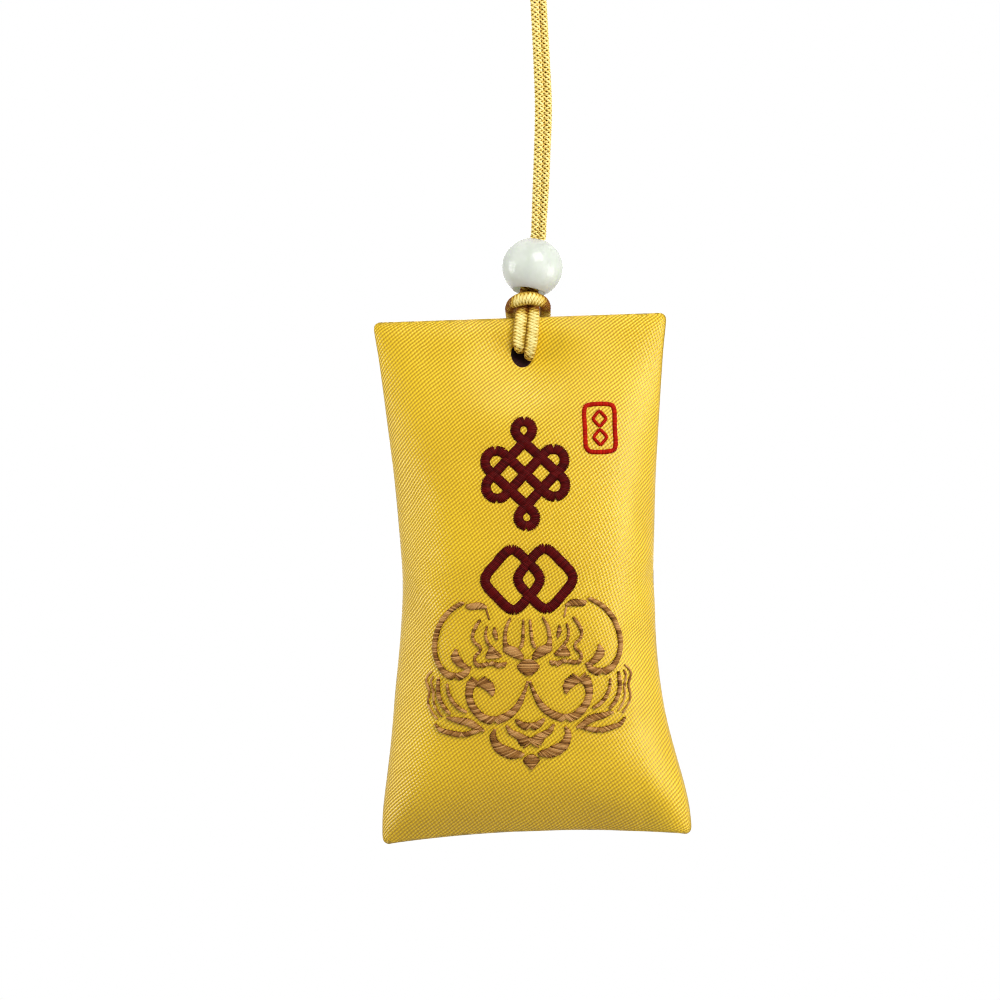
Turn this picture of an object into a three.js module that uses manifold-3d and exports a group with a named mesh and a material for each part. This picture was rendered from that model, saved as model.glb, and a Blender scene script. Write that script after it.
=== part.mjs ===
// A stuffed satin amulet pouch on a doubled cord, with a stone bead above its hitch.
// Millimetres, +Z up, the embroidered front faces -Y, the origin is where the cord hangs.
import * as THREE from "three";
import Module from "manifold-3d";

// Pouch
const pouchWidth = 40;
const pouchHeight = 70;
const pouchThickness = 13.8;
const clothThickness = 0.45;
const seamGap = 0.3;
const hemWidth = 0.8;
const sideRoundness = 2.6;
const crownFlatness = 0.55;

// Hole near the top edge
const holeDrop = 5.5;
const cordDiameter = 1.2;
const strandGap = 0.22;
const holeClearance = 0.3;

// Cord, bead and end knot
const cordGap = 0.3;
const hangHeight = 51;
const hangOffset = 3.9;
const columnSlope = 0.14;
const archHeight = 7.7;
const archHalfWidth = 2.7;
const archClearance = 1.1;
const neckHeight = 8.75;
const neckGap = 0.8;
const beadDiameter = 8.2;
const beadLength = 7.7;
const boreClearance = 0.3;
const beadAboveNeck = 3.6;
const knotDiameter = 4.2;
const knotLength = 4.6;
const tailLength = 5;

// Inside the pouch
const layerGap = 0.3;
const backingThickness = 0.3;
const backingWidth = 26;
const backingTop = 15;
const backingBottom = 61;
const waddingTop = 12;
const waddingBottom = 63.5;
const waddingInset = 1.5;
const slipWidth = 22;
const slipHeight = 40;
const slipDrop = 18;
const paperThickness = 0.2;
const foldGap = 0.2;
const threadDiameter = 0.3;
const threadInset = 1.1;

// Embroidery
const stitchStep = 1;
const pileHeight = 0.4;
const pileGap = 0.25;

// Half widths of the pouch from the top edge down, as parts of its height and half width.
const widthProfile = [
  [0, 0.965], [0.055, 0.963], [0.18, 0.92], [0.315, 0.878], [0.5, 0.842], [0.64, 0.868],
  [0.775, 0.92], [0.86, 0.968], [0.93, 1.018], [0.97, 1.034], [1, 1.02],
];

// Half thicknesses along the middle from the top edge down.
const thicknessProfile = [
  [0, 0], [0.01, 0.12], [0.045, 0.155], [0.079, 0.195], [0.13, 0.335], [0.2, 0.595],
  [0.315, 0.855], [0.46, 0.985], [0.6, 1], [0.74, 0.92], [0.814, 0.825], [0.871, 0.755],
  [0.9, 0.695], [0.929, 0.58], [0.957, 0.395], [0.98, 0.2], [1, 0],
];

const wasm = await Module();
wasm.setup();

const cordRadius = cordDiameter / 2;
const strandOffset = cordRadius + strandGap / 2;
const holeRadius = strandOffset + cordRadius + holeClearance;
const columnLean = Math.atan(columnSlope);

// Smooth reading of a profile: a cubic through its points, level at each turning point.
function profileValue(profile, at) {
  const place = Math.min(Math.max(at, 0), 1);
  let i = 0;
  while (i < profile.length - 2 && place > profile[i + 1][0]) {
    i += 1;
  }
  const slope = (k) => (profile[k + 1][1] - profile[k][1]) / (profile[k + 1][0] - profile[k][0]);
  const tangent = (k) => {
    if (k === 0) {
      return slope(0);
    }
    if (k === profile.length - 1) {
      return slope(k - 1);
    }
    const before = slope(k - 1);
    const after = slope(k);
    return before * after <= 0 ? 0 : (2 * before * after) / (before + after);
  };
  const span = profile[i + 1][0] - profile[i][0];
  const t = (place - profile[i][0]) / span;
  const t2 = t * t;
  const t3 = t2 * t;
  return (2 * t3 - 3 * t2 + 1) * profile[i][1] + (t3 - 2 * t2 + t) * span * tangent(i)
    + (3 * t2 - 2 * t3) * profile[i + 1][1] + (t3 - t2) * span * tangent(i + 1);
}

// drop is the distance below the top edge.
function halfWidth(drop) {
  return (pouchWidth / 2) * profileValue(widthProfile, drop / pouchHeight);
}

function halfThickness(drop) {
  return (pouchThickness / 2) * profileValue(thicknessProfile, drop / pouchHeight);
}

function crown(across) {
  const edge = Math.min(Math.abs(across), 1);
  return Math.pow(1 - Math.pow(edge, sideRoundness), crownFlatness);
}

// How far the cloth's outside stands from the seam plane.
function outsideDepth(x, z) {
  const drop = holeDrop - z;
  return seamGap / 2 + halfThickness(drop) * crown(x / halfWidth(drop));
}

// How far the cloth's inside stands from the seam plane.
function insideDepth(x, z) {
  const drop = holeDrop - z;
  const cavity = halfThickness(drop) - clothThickness;
  return seamGap / 2 + cavity * crown(x / (halfWidth(drop) - clothThickness));
}

// A closed geometry whose faces point out, whichever way its triangles were listed.
function closedGeometry(points, triangles) {
  let volume = 0;
  for (const [a, b, c] of triangles) {
    volume += points[a].dot(points[b].clone().cross(points[c]));
  }
  const indices = triangles.flatMap(([a, b, c]) => (volume < 0 ? [a, c, b] : [a, b, c]));
  const geometry = new THREE.BufferGeometry();
  geometry.setAttribute("position", new THREE.Float32BufferAttribute(points.flatMap((p) => p.toArray()), 3));
  geometry.setIndex(indices);
  return geometry;
}

// A slab between two surfaces over the same grid, closed round its border.
function slab(columns, rows, nearPoint, farPoint) {
  const points = [];
  const triangles = [];
  for (const surface of [nearPoint, farPoint]) {
    for (let j = 0; j <= rows; j += 1) {
      for (let i = 0; i <= columns; i += 1) {
        points.push(surface(i / columns, j / rows));
      }
    }
  }
  const layer = (columns + 1) * (rows + 1);
  const at = (i, j, side) => side * layer + j * (columns + 1) + i;
  for (let j = 0; j < rows; j += 1) {
    for (let i = 0; i < columns; i += 1) {
      triangles.push([at(i, j, 0), at(i + 1, j, 0), at(i + 1, j + 1, 0)]);
      triangles.push([at(i, j, 0), at(i + 1, j + 1, 0), at(i, j + 1, 0)]);
      triangles.push([at(i, j, 1), at(i + 1, j + 1, 1), at(i + 1, j, 1)]);
      triangles.push([at(i, j, 1), at(i, j + 1, 1), at(i + 1, j + 1, 1)]);
    }
  }
  const border = [];
  for (let i = 0; i < columns; i += 1) {
    border.push([i, 0]);
  }
  for (let j = 0; j < rows; j += 1) {
    border.push([columns, j]);
  }
  for (let i = columns; i > 0; i -= 1) {
    border.push([i, rows]);
  }
  for (let j = rows; j > 0; j -= 1) {
    border.push([0, j]);
  }
  border.forEach(([i, j], k) => {
    const [iNext, jNext] = border[(k + 1) % border.length];
    triangles.push([at(i, j, 0), at(i, j, 1), at(iNext, jNext, 1)]);
    triangles.push([at(i, j, 0), at(iNext, jNext, 1), at(iNext, jNext, 0)]);
  });
  return closedGeometry(points, triangles);
}

// Grid places gathered towards both ends, where the cloth turns fastest.
function gathered(t) {
  return (1 - Math.cos(Math.PI * t)) / 2;
}

function toManifold(geometry) {
  const mesh = new wasm.Mesh({
    numProp: 3,
    vertProperties: new Float32Array(geometry.attributes.position.array),
    triVerts: new Uint32Array(geometry.index.array),
  });
  mesh.merge();
  return new wasm.Manifold(mesh);
}

function fromManifold(solid) {
  const mesh = solid.getMesh();
  const geometry = new THREE.BufferGeometry();
  geometry.setAttribute("position", new THREE.Float32BufferAttribute(Array.from(mesh.vertProperties), 3));
  geometry.setIndex(Array.from(mesh.triVerts));
  return geometry;
}

// The cord hole, driven through the pouch from front to back.
function holeCutter() {
  const sides = 24;
  const reach = pouchThickness;
  const points = [];
  const triangles = [];
  for (const y of [-reach, reach]) {
    for (let i = 0; i < sides; i += 1) {
      const a = (2 * Math.PI * i) / sides;
      points.push(new THREE.Vector3(holeRadius * Math.cos(a), y, holeRadius * Math.sin(a)));
    }
  }
  for (let i = 0; i < sides; i += 1) {
    const next = (i + 1) % sides;
    triangles.push([i, next, sides + next]);
    triangles.push([i, sides + next, sides + i]);
    if (i > 1) {
      triangles.push([0, i, i - 1]);
      triangles.push([sides, sides + i - 1, sides + i]);
    }
  }
  return toManifold(closedGeometry(points, triangles));
}

// One cloth panel: side is -1 for the front and 1 for the back.
function panel(side) {
  const outer = (u, v) => {
    const drop = pouchHeight * gathered(v);
    const across = 2 * gathered(u) - 1;
    const depth = seamGap / 2 + halfThickness(drop) * crown(across);
    return new THREE.Vector3(across * halfWidth(drop), side * depth, holeDrop - drop);
  };
  const inner = (u, v) => {
    const drop = hemWidth + (pouchHeight - 2 * hemWidth) * gathered(v);
    const across = 2 * gathered(u) - 1;
    const rim = v === 0 || v === 1 ? 0 : 1;
    const depth = seamGap / 2 + rim * (halfThickness(drop) - clothThickness) * crown(across);
    return new THREE.Vector3(across * (halfWidth(drop) - clothThickness), side * depth, holeDrop - drop);
  };
  const cloth = toManifold(slab(20, 28, outer, inner));
  return fromManifold(cloth.subtract(holeCutter()));
}

// A wadding pad: flat against the slip, crowned against the cloth.
function wadding(side, outerGap) {
  const flat = slipStack / 2 + layerGap;
  const place = (u, v) => {
    const drop = waddingTop + (waddingBottom - waddingTop) * gathered(v);
    const across = 2 * gathered(u) - 1;
    const width = halfWidth(drop) - clothThickness - waddingInset;
    return [across, drop, width];
  };
  const crowned = (u, v) => {
    const [across, drop, width] = place(u, v);
    const height = halfThickness(drop) - clothThickness - outerGap - flat;
    const rise = v === 0 || v === 1 ? 0 : height * crown(across);
    return new THREE.Vector3(across * width, side * (flat + paperThickness + rise), holeDrop - drop);
  };
  const plain = (u, v) => {
    const [across, drop, width] = place(u, v);
    return new THREE.Vector3(across * width, side * flat, holeDrop - drop);
  };
  return slab(14, 18, crowned, plain);
}

// The non-woven sheet behind the stitches follows the inside of the front panel.
function backing() {
  const sheet = (depthInside) => (u, v) => {
    const x = backingWidth * (u - 0.5);
    const z = holeDrop - backingTop - (backingBottom - backingTop) * v;
    return new THREE.Vector3(x, -(insideDepth(x, z) - depthInside), z);
  };
  return slab(10, 18, sheet(layerGap), sheet(layerGap + backingThickness));
}

// One sheet of paper folded in three.
const slipStack = 3 * paperThickness + 2 * foldGap;

function amuletSlip() {
  const half = slipWidth / 2;
  const y0 = -slipStack / 2;
  const y1 = y0 + paperThickness;
  const y2 = y1 + foldGap;
  const y3 = y2 + paperThickness;
  const y4 = y3 + foldGap;
  const y5 = y4 + paperThickness;
  const outline = [
    [-half, y0], [half, y0], [half, y3], [-half + paperThickness, y3], [-half + paperThickness, y4],
    [half, y4], [half, y5], [-half, y5], [-half, y2], [half - paperThickness, y2],
    [half - paperThickness, y1], [-half, y1],
  ];
  const shape = new THREE.Shape(outline.map(([x, y]) => new THREE.Vector2(x, y)));
  const slip = new THREE.ExtrudeGeometry(shape, { depth: slipHeight, bevelEnabled: false });
  slip.translate(0, 0, holeDrop - slipDrop - slipHeight);
  return slip;
}

// A round cord along a smooth curve through the given points.
function tube(points, diameter, steps, sides) {
  const section = new THREE.Shape();
  for (let i = 0; i < sides; i += 1) {
    const a = (2 * Math.PI * i) / sides;
    const x = (diameter / 2) * Math.cos(a);
    const y = (diameter / 2) * Math.sin(a);
    if (i === 0) {
      section.moveTo(x, y);
    } else {
      section.lineTo(x, y);
    }
  }
  const path = new THREE.CatmullRomCurve3(points.map(([x, y, z]) => new THREE.Vector3(x, y, z)));
  return new THREE.ExtrudeGeometry(section, { steps, extrudePath: path, bevelEnabled: false });
}

// A seam thread just inside the edge, in the seam plane.
function sideThread(side) {
  const points = [];
  for (let k = 0; k <= 8; k += 1) {
    const drop = waddingTop + ((waddingBottom - waddingTop) * k) / 8;
    points.push([side * (halfWidth(drop) - clothThickness - threadInset), 0, holeDrop - drop]);
  }
  return tube(points, threadDiameter, 24, 6);
}

function endThread(drop) {
  const reach = halfWidth(drop) - 3 * threadInset;
  const z = holeDrop - drop;
  return tube([[-reach, 0, z], [0, 0, z], [reach, 0, z]], threadDiameter, 8, 6);
}

// The hitch: down the front, through the hole, up behind, over the top edge and back the same way.
function hitch() {
  const face = outsideDepth(0, 0) + cordRadius + cordGap;
  const hem = outsideDepth(0, holeDrop - hemWidth) + cordRadius + cordGap;
  const overTop = holeDrop + archClearance + cordRadius;
  const half = [
    [strandOffset, 0, neckHeight - neckGap / 2],
    [strandOffset, -0.75, archHeight - 0.7],
    [strandOffset, -hem, holeDrop - 0.2],
    [strandOffset, -face, 2.6],
    [strandOffset, -face - 0.05, 0.95],
    [strandOffset, -face + 0.8, 0.08],
    [strandOffset, 0, 0],
    [strandOffset, face - 0.8, 0.08],
    [strandOffset + 0.1, face + 0.05, 0.95],
    [strandOffset + 0.9, face + 0.1, 2.8],
    [archHalfWidth - 0.5, face, holeDrop - 0.6],
    [archHalfWidth - 0.1, hem - 0.2, overTop - 0.5],
    [archHalfWidth, 0.3, overTop],
    [archHalfWidth - 0.4, -1.2, overTop + 0.25],
    [archHalfWidth - 1.6, -2.2, archHeight],
  ];
  const crossing = [[0, -2.4, archHeight + 0.1]];
  const route = [...half.map(([x, y, z]) => [-x, y, z]), ...crossing, ...half.reverse()];
  const leaning = route.map(([x, y, z]) => [x + columnSlope * Math.max(z, 0), y, z]);
  return tube(leaning, cordDiameter, 80, 8);
}

// One half of the cord above the hitch, straight through the bead and then easing upright.
function strand(side) {
  const middle = [
    [columnSlope * (neckHeight + neckGap / 2), neckHeight + neckGap / 2],
    [columnSlope * 14, 14],
    [columnSlope * 20, 20],
    [columnSlope * 27, 27],
    [3.98, 34],
    [4.02, 42],
    [hangOffset, hangHeight - cordGap],
  ];
  const points = middle.map(([x, z]) => [x + side * strandOffset, 0, z]);
  return tube(points, cordDiameter, 24, 8);
}

// A round stone bead, bored for the two strands.
function bead() {
  const boreRadius = strandOffset + cordRadius + boreClearance;
  const profile = [];
  const rimAngle = Math.asin(boreRadius / (beadDiameter / 2));
  for (let k = 0; k <= 14; k += 1) {
    const a = rimAngle + ((Math.PI - 2 * rimAngle) * k) / 14;
    profile.push(new THREE.Vector2((beadDiameter / 2) * Math.sin(a), -(beadLength / 2) * Math.cos(a)));
  }
  profile.push(profile[0].clone());
  return new THREE.LatheGeometry(profile, 28);
}

// The tied ends: two wraps drawn tight round the strands.
function endKnot() {
  const profile = [new THREE.Vector2(0, 0)];
  const wraps = 2;
  const steps = 6;
  const waist = knotDiameter / 2 - cordRadius / 2;
  profile.push(new THREE.Vector2(waist - cordRadius, 0));
  for (let w = 0; w < wraps; w += 1) {
    for (let k = w === 0 ? 0 : 1; k <= steps; k += 1) {
      const bulge = Math.sin((Math.PI * k) / steps) * (knotDiameter / 2 - waist);
      profile.push(new THREE.Vector2(waist + bulge, (knotLength * (w + 0.1 + (0.8 * k) / steps)) / wraps));
    }
  }
  profile.push(new THREE.Vector2(waist - cordRadius, knotLength));
  profile.push(new THREE.Vector2(0, knotLength));
  return new THREE.LatheGeometry(profile, 16);
}

function tail(side) {
  const foot = knotLength + cordGap;
  const points = [
    [side * strandOffset, 0, foot],
    [side * (strandOffset + 0.5), 0, foot + tailLength / 2],
    [side * (strandOffset + 1.3), 0, foot + tailLength],
  ];
  return tube(points, cordDiameter, 6, 8);
}

// A flat band of stitches along a smooth line, open or closed, tapered to both ends or even.
// x and z are places on the panel, and the stitches stand up from it towards -Y.
// lift raises a band that crosses over another one.
function band(line, width, { closed = false, tapered = true, tension = 0.5, lift = 0 } = {}) {
  const curve = new THREE.CatmullRomCurve3(
    line.map(([x, z]) => new THREE.Vector3(x, 0, z)), closed, "catmullrom", tension,
  );
  const count = Math.max(4, Math.round(curve.getLength() / stitchStep));
  const points = [];
  const triangles = [];
  const sections = closed ? count : count + 1;
  for (let i = 0; i < sections; i += 1) {
    const t = i / count;
    const place = curve.getPointAt(t);
    const along = curve.getTangentAt(t);
    const taper = tapered ? Math.max(0.35, Math.pow(Math.sin(Math.PI * t), 0.5)) : 1;
    const out = new THREE.Vector3(-along.z, 0, along.x).multiplyScalar((width / 2) * taper);
    const foot = -lift / 2;
    const top = -pileHeight - lift;
    for (const [sign, y] of [[-1, foot], [1, foot], [1, top], [-1, top]]) {
      points.push(new THREE.Vector3(place.x + sign * out.x, y, place.z + sign * out.z));
    }
  }
  for (let i = 0; i < count; i += 1) {
    const a = 4 * i;
    const b = 4 * ((i + 1) % sections);
    for (let k = 0; k < 4; k += 1) {
      const next = (k + 1) % 4;
      triangles.push([a + k, a + next, b + next]);
      triangles.push([a + k, b + next, b + k]);
    }
  }
  if (!closed) {
    const end = 4 * (sections - 1);
    triangles.push([0, 2, 1]);
    triangles.push([0, 3, 2]);
    triangles.push([end, end + 1, end + 2]);
    triangles.push([end, end + 2, end + 3]);
  }
  return closedGeometry(points, triangles);
}

// A round spot of stitches.
function spot(x, z, radius) {
  const sides = 10;
  const points = [];
  const triangles = [];
  for (const y of [0, -pileHeight]) {
    for (let i = 0; i < sides; i += 1) {
      const a = (2 * Math.PI * i) / sides;
      points.push(new THREE.Vector3(x + radius * Math.cos(a), y, z + radius * Math.sin(a)));
    }
  }
  for (let i = 0; i < sides; i += 1) {
    const next = (i + 1) % sides;
    triangles.push([i, next, sides + next]);
    triangles.push([i, sides + next, sides + i]);
    if (i > 1) {
      triangles.push([0, i, i - 1]);
      triangles.push([sides, sides + i - 1, sides + i]);
    }
  }
  return closedGeometry(points, triangles);
}

// Several bands worked into one piece of embroidery.
function joined(bands) {
  return fromManifold(bands.map(toManifold).reduce((a, b) => a.add(b)));
}

// Lays flat embroidery on the front panel.
function drape(geometry) {
  const position = geometry.attributes.position;
  for (let i = 0; i < position.count; i += 1) {
    const x = position.getX(i);
    const z = position.getZ(i);
    position.setY(i, position.getY(i) - outsideDepth(x, z) - pileGap);
  }
  return geometry;
}

// Places on the panel are given from the pouch's middle.
const middleDrop = pouchHeight / 2;

function fromMiddle(line) {
  return line.map(([x, z]) => [x, z + holeDrop - middleDrop]);
}

// The upper emblem: an endless knot, three cords each way and two corner loops, set on its corner.
function endlessKnot() {
  const pitch = 3;
  const reach = 5.1;
  const width = 1.3;
  const loopWidth = 1;
  const turn = (points) => points.map(([p, q]) => [(p - q) * Math.SQRT1_2, (p + q) * Math.SQRT1_2 + 13.9]);
  const swap = (points) => points.map(([p, q]) => [q, p]);
  const first = [
    [-pitch, -reach + 1], [-pitch, 0], [-pitch, reach - 0.9], [-pitch / 2, reach + 0.3],
    [0, reach - 0.9], [0, 0], [0, -reach + 0.9], [pitch / 2, -reach - 0.3], [pitch, -reach + 0.9],
    [pitch, 0], [pitch, reach - 1],
  ];
  const cornerLoop = [
    [pitch, reach - 1.7], [pitch + 0.5, reach + 0.3], [reach + 0.3, pitch + 0.5], [reach - 1.7, pitch],
  ];
  const lines = [
    [first, width, 0],
    [swap(first), width, 0.12],
    [cornerLoop, loopWidth, 0.06],
    [cornerLoop.map(([p, q]) => [-p, -q]), loopWidth, 0.06],
  ];
  return joined(lines.map(([line, across, lift]) => (
    band(fromMiddle(turn(line)), across, { tapered: false, lift })
  )));
}

// The lower emblem: two lozenges linked side by side.
function linkedLozenges() {
  const lozenge = (middle, lift) => band(
    fromMiddle([[middle - 4.2, -0.2], [middle, 4.4], [middle + 4.2, -0.2], [middle, -4.8]]),
    1.3,
    { closed: true, tapered: false, tension: 0.15, lift },
  );
  return joined([lozenge(-2.2, 0), lozenge(2.2, 0.12)]);
}

// The seal: an upright rounded frame round two small lozenges.
const sealX = 10.2;
const sealZ = 19.7;

function sealFrame() {
  const w = 2;
  const h = 3.15;
  const line = [
    [-w, -h + 0.7], [-w, 0], [-w, h - 0.7], [-w + 0.7, h], [w - 0.7, h], [w, h - 0.7],
    [w, 0], [w, -h + 0.7], [w - 0.7, -h], [-w + 0.7, -h],
  ];
  const placed = fromMiddle(line.map(([x, z]) => [x + sealX, z + sealZ]));
  return band(placed, 0.6, { closed: true, tapered: false, tension: 0.4 });
}

function sealLozenge(rise) {
  const line = [[-0.95, rise], [0, rise + 1.1], [0.95, rise], [0, rise - 1.1]];
  const placed = fromMiddle(line.map(([x, z]) => [x + sealX, z + sealZ]));
  return band(placed, 0.45, { closed: true, tapered: false, tension: 0.2 });
}

// The lotus: strokes on its right side, each worked again as a mirror image on its left.
const lotusShift = -0.5;
const lotusPairs = [
  ["horn", 1, [
    [8.5, -2.9], [10.4, -4.4], [11.9, -6.8], [12.4, -9.3], [11.8, -11.4], [10.3, -12.5], [7.9, -12.1],
  ]],
  ["leaf", 0.9, [[5.2, -3.9], [6.1, -3.5], [7, -3.3]]],
  ["side_petal", 0.8, [
    [6.6, -5.7], [7, -7.4], [6.4, -8.9], [6.7, -10], [6.3, -10.9], [4.8, -11.1], [3.3, -11.6],
  ]],
  ["inner_leaf", 0.65, [[3.9, -6.7], [4.1, -7.5], [4.1, -8.2]]],
  ["flank_petal", 1, [[2, -6.4], [2.6, -7.5], [2.5, -9], [1.6, -10.4]]],
  ["scroll", 0.9, [
    [0.5, -14.2], [0.9, -15.6], [2.5, -17.6], [4.8, -18.7], [6.4, -18.1], [7.8, -16.2], [8.1, -14.7],
    [7.5, -13.4], [6.3, -13.2], [5.4, -14], [5.6, -15.1],
  ]],
  ["wing_outer", 0.6, [[13.3, -12.6], [13.1, -14], [13.6, -15.3], [13, -16.7], [12.2, -18]]],
  ["wing_middle", 0.55, [[12, -13.4], [12.1, -14.7], [11.6, -16.1], [11, -17.2]]],
  ["wing_inner", 0.55, [[10.8, -14.2], [10.5, -15.6], [9.9, -16.7], [9, -17.3]]],
  ["feather_upper", 0.75, [[10.9, -18.2], [9.6, -18.9], [8, -19]]],
  ["feather_lower", 0.85, [[12.3, -19.4], [10.2, -20.3], [8.2, -20.5], [6.5, -20]]],
  ["pendant_petal", 1, [[4.9, -20.3], [4.5, -21.5], [3.3, -22.9], [1.9, -23.7], [0.6, -24.5]]],
];
const lotusSpots = [
  ["bulb", 0.85, 9.5, -10],
  ["petal_fill", 0.65, 4.8, -9.6],
];
const lotusMiddle = [
  ["lotus_heart", 1.1, [[0, -6.4], [0, -8.4], [0, -10.2]]],
  ["lotus_pad", 1.5, [[-1.2, -12], [0, -12], [1.2, -12]]],
  ["lotus_cup", 1, [[-1.9, -18.9], [0, -19.6], [1.9, -18.9]]],
  ["lotus_chevron", 1, [[-2.9, -19.9], [-1.8, -21], [0, -22.2], [1.8, -21], [2.9, -19.9]]],
];

const satin = { color: "#dcb236", roughness: 0.45, metalness: 0 };
const satinBack = { color: "#d8ae34", roughness: 0.45, metalness: 0 };
const cordGold = { color: "#ecd07a", roughness: 0.6, metalness: 0 };
const stone = { color: "#dfe8e0", roughness: 0.15, metalness: 0 };
const maroon = { color: "#541220", roughness: 0.55, metalness: 0 };
const red = { color: "#b21408", roughness: 0.55, metalness: 0 };
const bronze = { color: "#a87a48", roughness: 0.5, metalness: 0 };
const white = { color: "#f4f1e8", roughness: 0.9, metalness: 0 };
const paper = { color: "#f0dc9a", roughness: 0.8, metalness: 0 };
const sewing = { color: "#d2a628", roughness: 0.6, metalness: 0 };

const amuletPouch = new THREE.Group();
amuletPouch.name = "amulet_pouch";

// Everything below the hang point is placed from the hole's centre.
const body = new THREE.Group();
body.position.set(-hangOffset, 0, -hangHeight);
amuletPouch.add(body);

function add(parent, name, geometry, finish) {
  const mesh = new THREE.Mesh(geometry, new THREE.MeshStandardMaterial(finish));
  mesh.name = name;
  parent.add(mesh);
  return mesh;
}

add(body, "front_panel", panel(-1), satin);
add(body, "back_panel", panel(1), satinBack);
add(body, "embroidery_backing", backing(), white);
add(body, "front_wadding", wadding(-1, 3 * layerGap + backingThickness), white);
add(body, "back_wadding", wadding(1, 2 * layerGap), white);
add(body, "amulet_slip", amuletSlip(), paper);
add(body, "left_seam_thread", sideThread(-1), sewing);
add(body, "right_seam_thread", sideThread(1), sewing);
add(body, "top_closing_thread", endThread(2 * threadInset), sewing);
add(body, "bottom_seam_thread", endThread(pouchHeight - 1.5 * threadInset), sewing);

add(body, "hitch", hitch(), cordGold);
add(body, "left_strand", strand(-1), cordGold);
add(body, "right_strand", strand(1), cordGold);

const beadPlace = neckHeight + beadAboveNeck;
const stoneBead = add(body, "bead", bead(), stone);
stoneBead.geometry.rotateX(Math.PI / 2);
stoneBead.position.set(columnSlope * beadPlace, 0, beadPlace);
stoneBead.rotation.y = columnLean;

add(amuletPouch, "end_knot", endKnot().rotateX(Math.PI / 2), cordGold);
add(amuletPouch, "left_tail", tail(-1), cordGold);
add(amuletPouch, "right_tail", tail(1), cordGold);

add(body, "upper_emblem", drape(endlessKnot()), maroon);
add(body, "lower_emblem", drape(linkedLozenges()), maroon);
add(body, "seal_frame", drape(sealFrame()), red);
add(body, "seal_lozenge_upper", drape(sealLozenge(1.25)), red);
add(body, "seal_lozenge_lower", drape(sealLozenge(-1.25)), red);

for (const [name, width, line] of lotusMiddle) {
  const placed = fromMiddle(line.map(([x, z]) => [x + lotusShift, z]));
  add(body, name, drape(band(placed, width)), bronze);
}
for (const [label, side] of [["left", -1], ["right", 1]]) {
  for (const [name, width, line] of lotusPairs) {
    const mirrored = fromMiddle(line.map(([x, z]) => [side * x + lotusShift, z]));
    add(body, `${label}_${name}`, drape(band(mirrored, width)), bronze);
  }
  for (const [name, radius, x, z] of lotusSpots) {
    const [[spotX, spotZ]] = fromMiddle([[side * x + lotusShift, z]]);
    add(body, `${label}_${name}`, drape(spot(spotX, spotZ, radius)), bronze);
  }
}

export default amuletPouch;
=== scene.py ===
# %% [markdown]
# # A stuffed amulet pouch on a doubled cord
# The real object is a small pouch of yellow-gold satin, stuffed, sewn shut and embroidered.
# A braided cord goes through a hole under its top edge in a cow hitch, and a stone bead sits on
# the two strands. The CAD model already gives every piece its place, so this script starts by
# loading it, and each soft piece made below takes the place of a plain CAD solid.

# %% Load the CAD model
import math
import random

import bpy
import numpy as np
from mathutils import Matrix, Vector
from mathutils.bvhtree import BVHTree


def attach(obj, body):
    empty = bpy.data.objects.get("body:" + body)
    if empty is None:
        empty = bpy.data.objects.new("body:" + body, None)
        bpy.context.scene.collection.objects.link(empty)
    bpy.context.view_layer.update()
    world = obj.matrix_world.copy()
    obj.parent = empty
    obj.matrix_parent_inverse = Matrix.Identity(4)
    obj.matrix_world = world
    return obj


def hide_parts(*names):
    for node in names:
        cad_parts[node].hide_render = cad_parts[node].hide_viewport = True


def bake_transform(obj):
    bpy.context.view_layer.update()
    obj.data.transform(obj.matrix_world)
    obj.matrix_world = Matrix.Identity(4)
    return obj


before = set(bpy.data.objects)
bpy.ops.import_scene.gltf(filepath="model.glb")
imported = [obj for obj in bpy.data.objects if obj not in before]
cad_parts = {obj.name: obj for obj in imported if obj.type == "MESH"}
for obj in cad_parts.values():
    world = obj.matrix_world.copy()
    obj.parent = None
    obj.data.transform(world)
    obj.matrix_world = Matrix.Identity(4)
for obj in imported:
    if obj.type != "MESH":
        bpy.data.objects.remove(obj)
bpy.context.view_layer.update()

MM = 0.001

# %% [markdown]
# ## Camera
# The photograph looks straight at the front from some way off, so a long lens fits it best.
# The pouch hangs about two degrees out of upright there. The object keeps its own upright
# frame, and the camera is rolled by that angle instead.

# %% Set the camera
VIEW_DISTANCE = 0.70
VIEW_WIDTH = 0.1348
VIEW_MIDDLE = Vector((-7.4, 0.0, -70.0)) * MM
VIEW_ROLL = math.radians(1.95)
SENSOR_WIDTH = 36
scene = bpy.context.scene
bpy.ops.object.select_all(action="DESELECT")
bpy.ops.object.camera_add(
    location=(VIEW_MIDDLE.x, -VIEW_DISTANCE, VIEW_MIDDLE.z),
    rotation=(math.radians(90), VIEW_ROLL, 0),
)
camera = bpy.context.object
camera.name = "photo_camera"
camera.data.lens = SENSOR_WIDTH * VIEW_DISTANCE / VIEW_WIDTH
camera.data.clip_start = 0.01
scene.camera = camera
scene.view_settings.view_transform = "Standard"
scene.cycles.filter_width = 1.1
print("lens in mm:", round(camera.data.lens, 1))

# %% [markdown]
# ## Light
# Satin shows its form by broad, soft highlights. The main lamp stands high on the right and leaves
# the underside of the pouch in shade. A low lamp on the right draws the pale band along the right
# seam, and one on the left lights the left flank. One behind shows the back. The world gives a
# dark grey fill, and is white where the camera, a reflection or a clear piece shows it.

# %% Set the lamps
LAMP_SIZE = 330
LAMP_AIM = Vector((-4, 0, -78))


def add_lamp(name, place, power):
    """A square soft lamp, turned to the pouch. Places are in millimetres, power in watts."""
    spot = Vector(place) * MM
    turn = (LAMP_AIM * MM - spot).to_track_quat("-Z", "Y").to_euler()
    bpy.ops.object.light_add(type="AREA", location=spot, rotation=turn)
    lamp = bpy.context.object
    lamp.name = name
    lamp.data.energy = power
    lamp.data.size = LAMP_SIZE * MM


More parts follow.
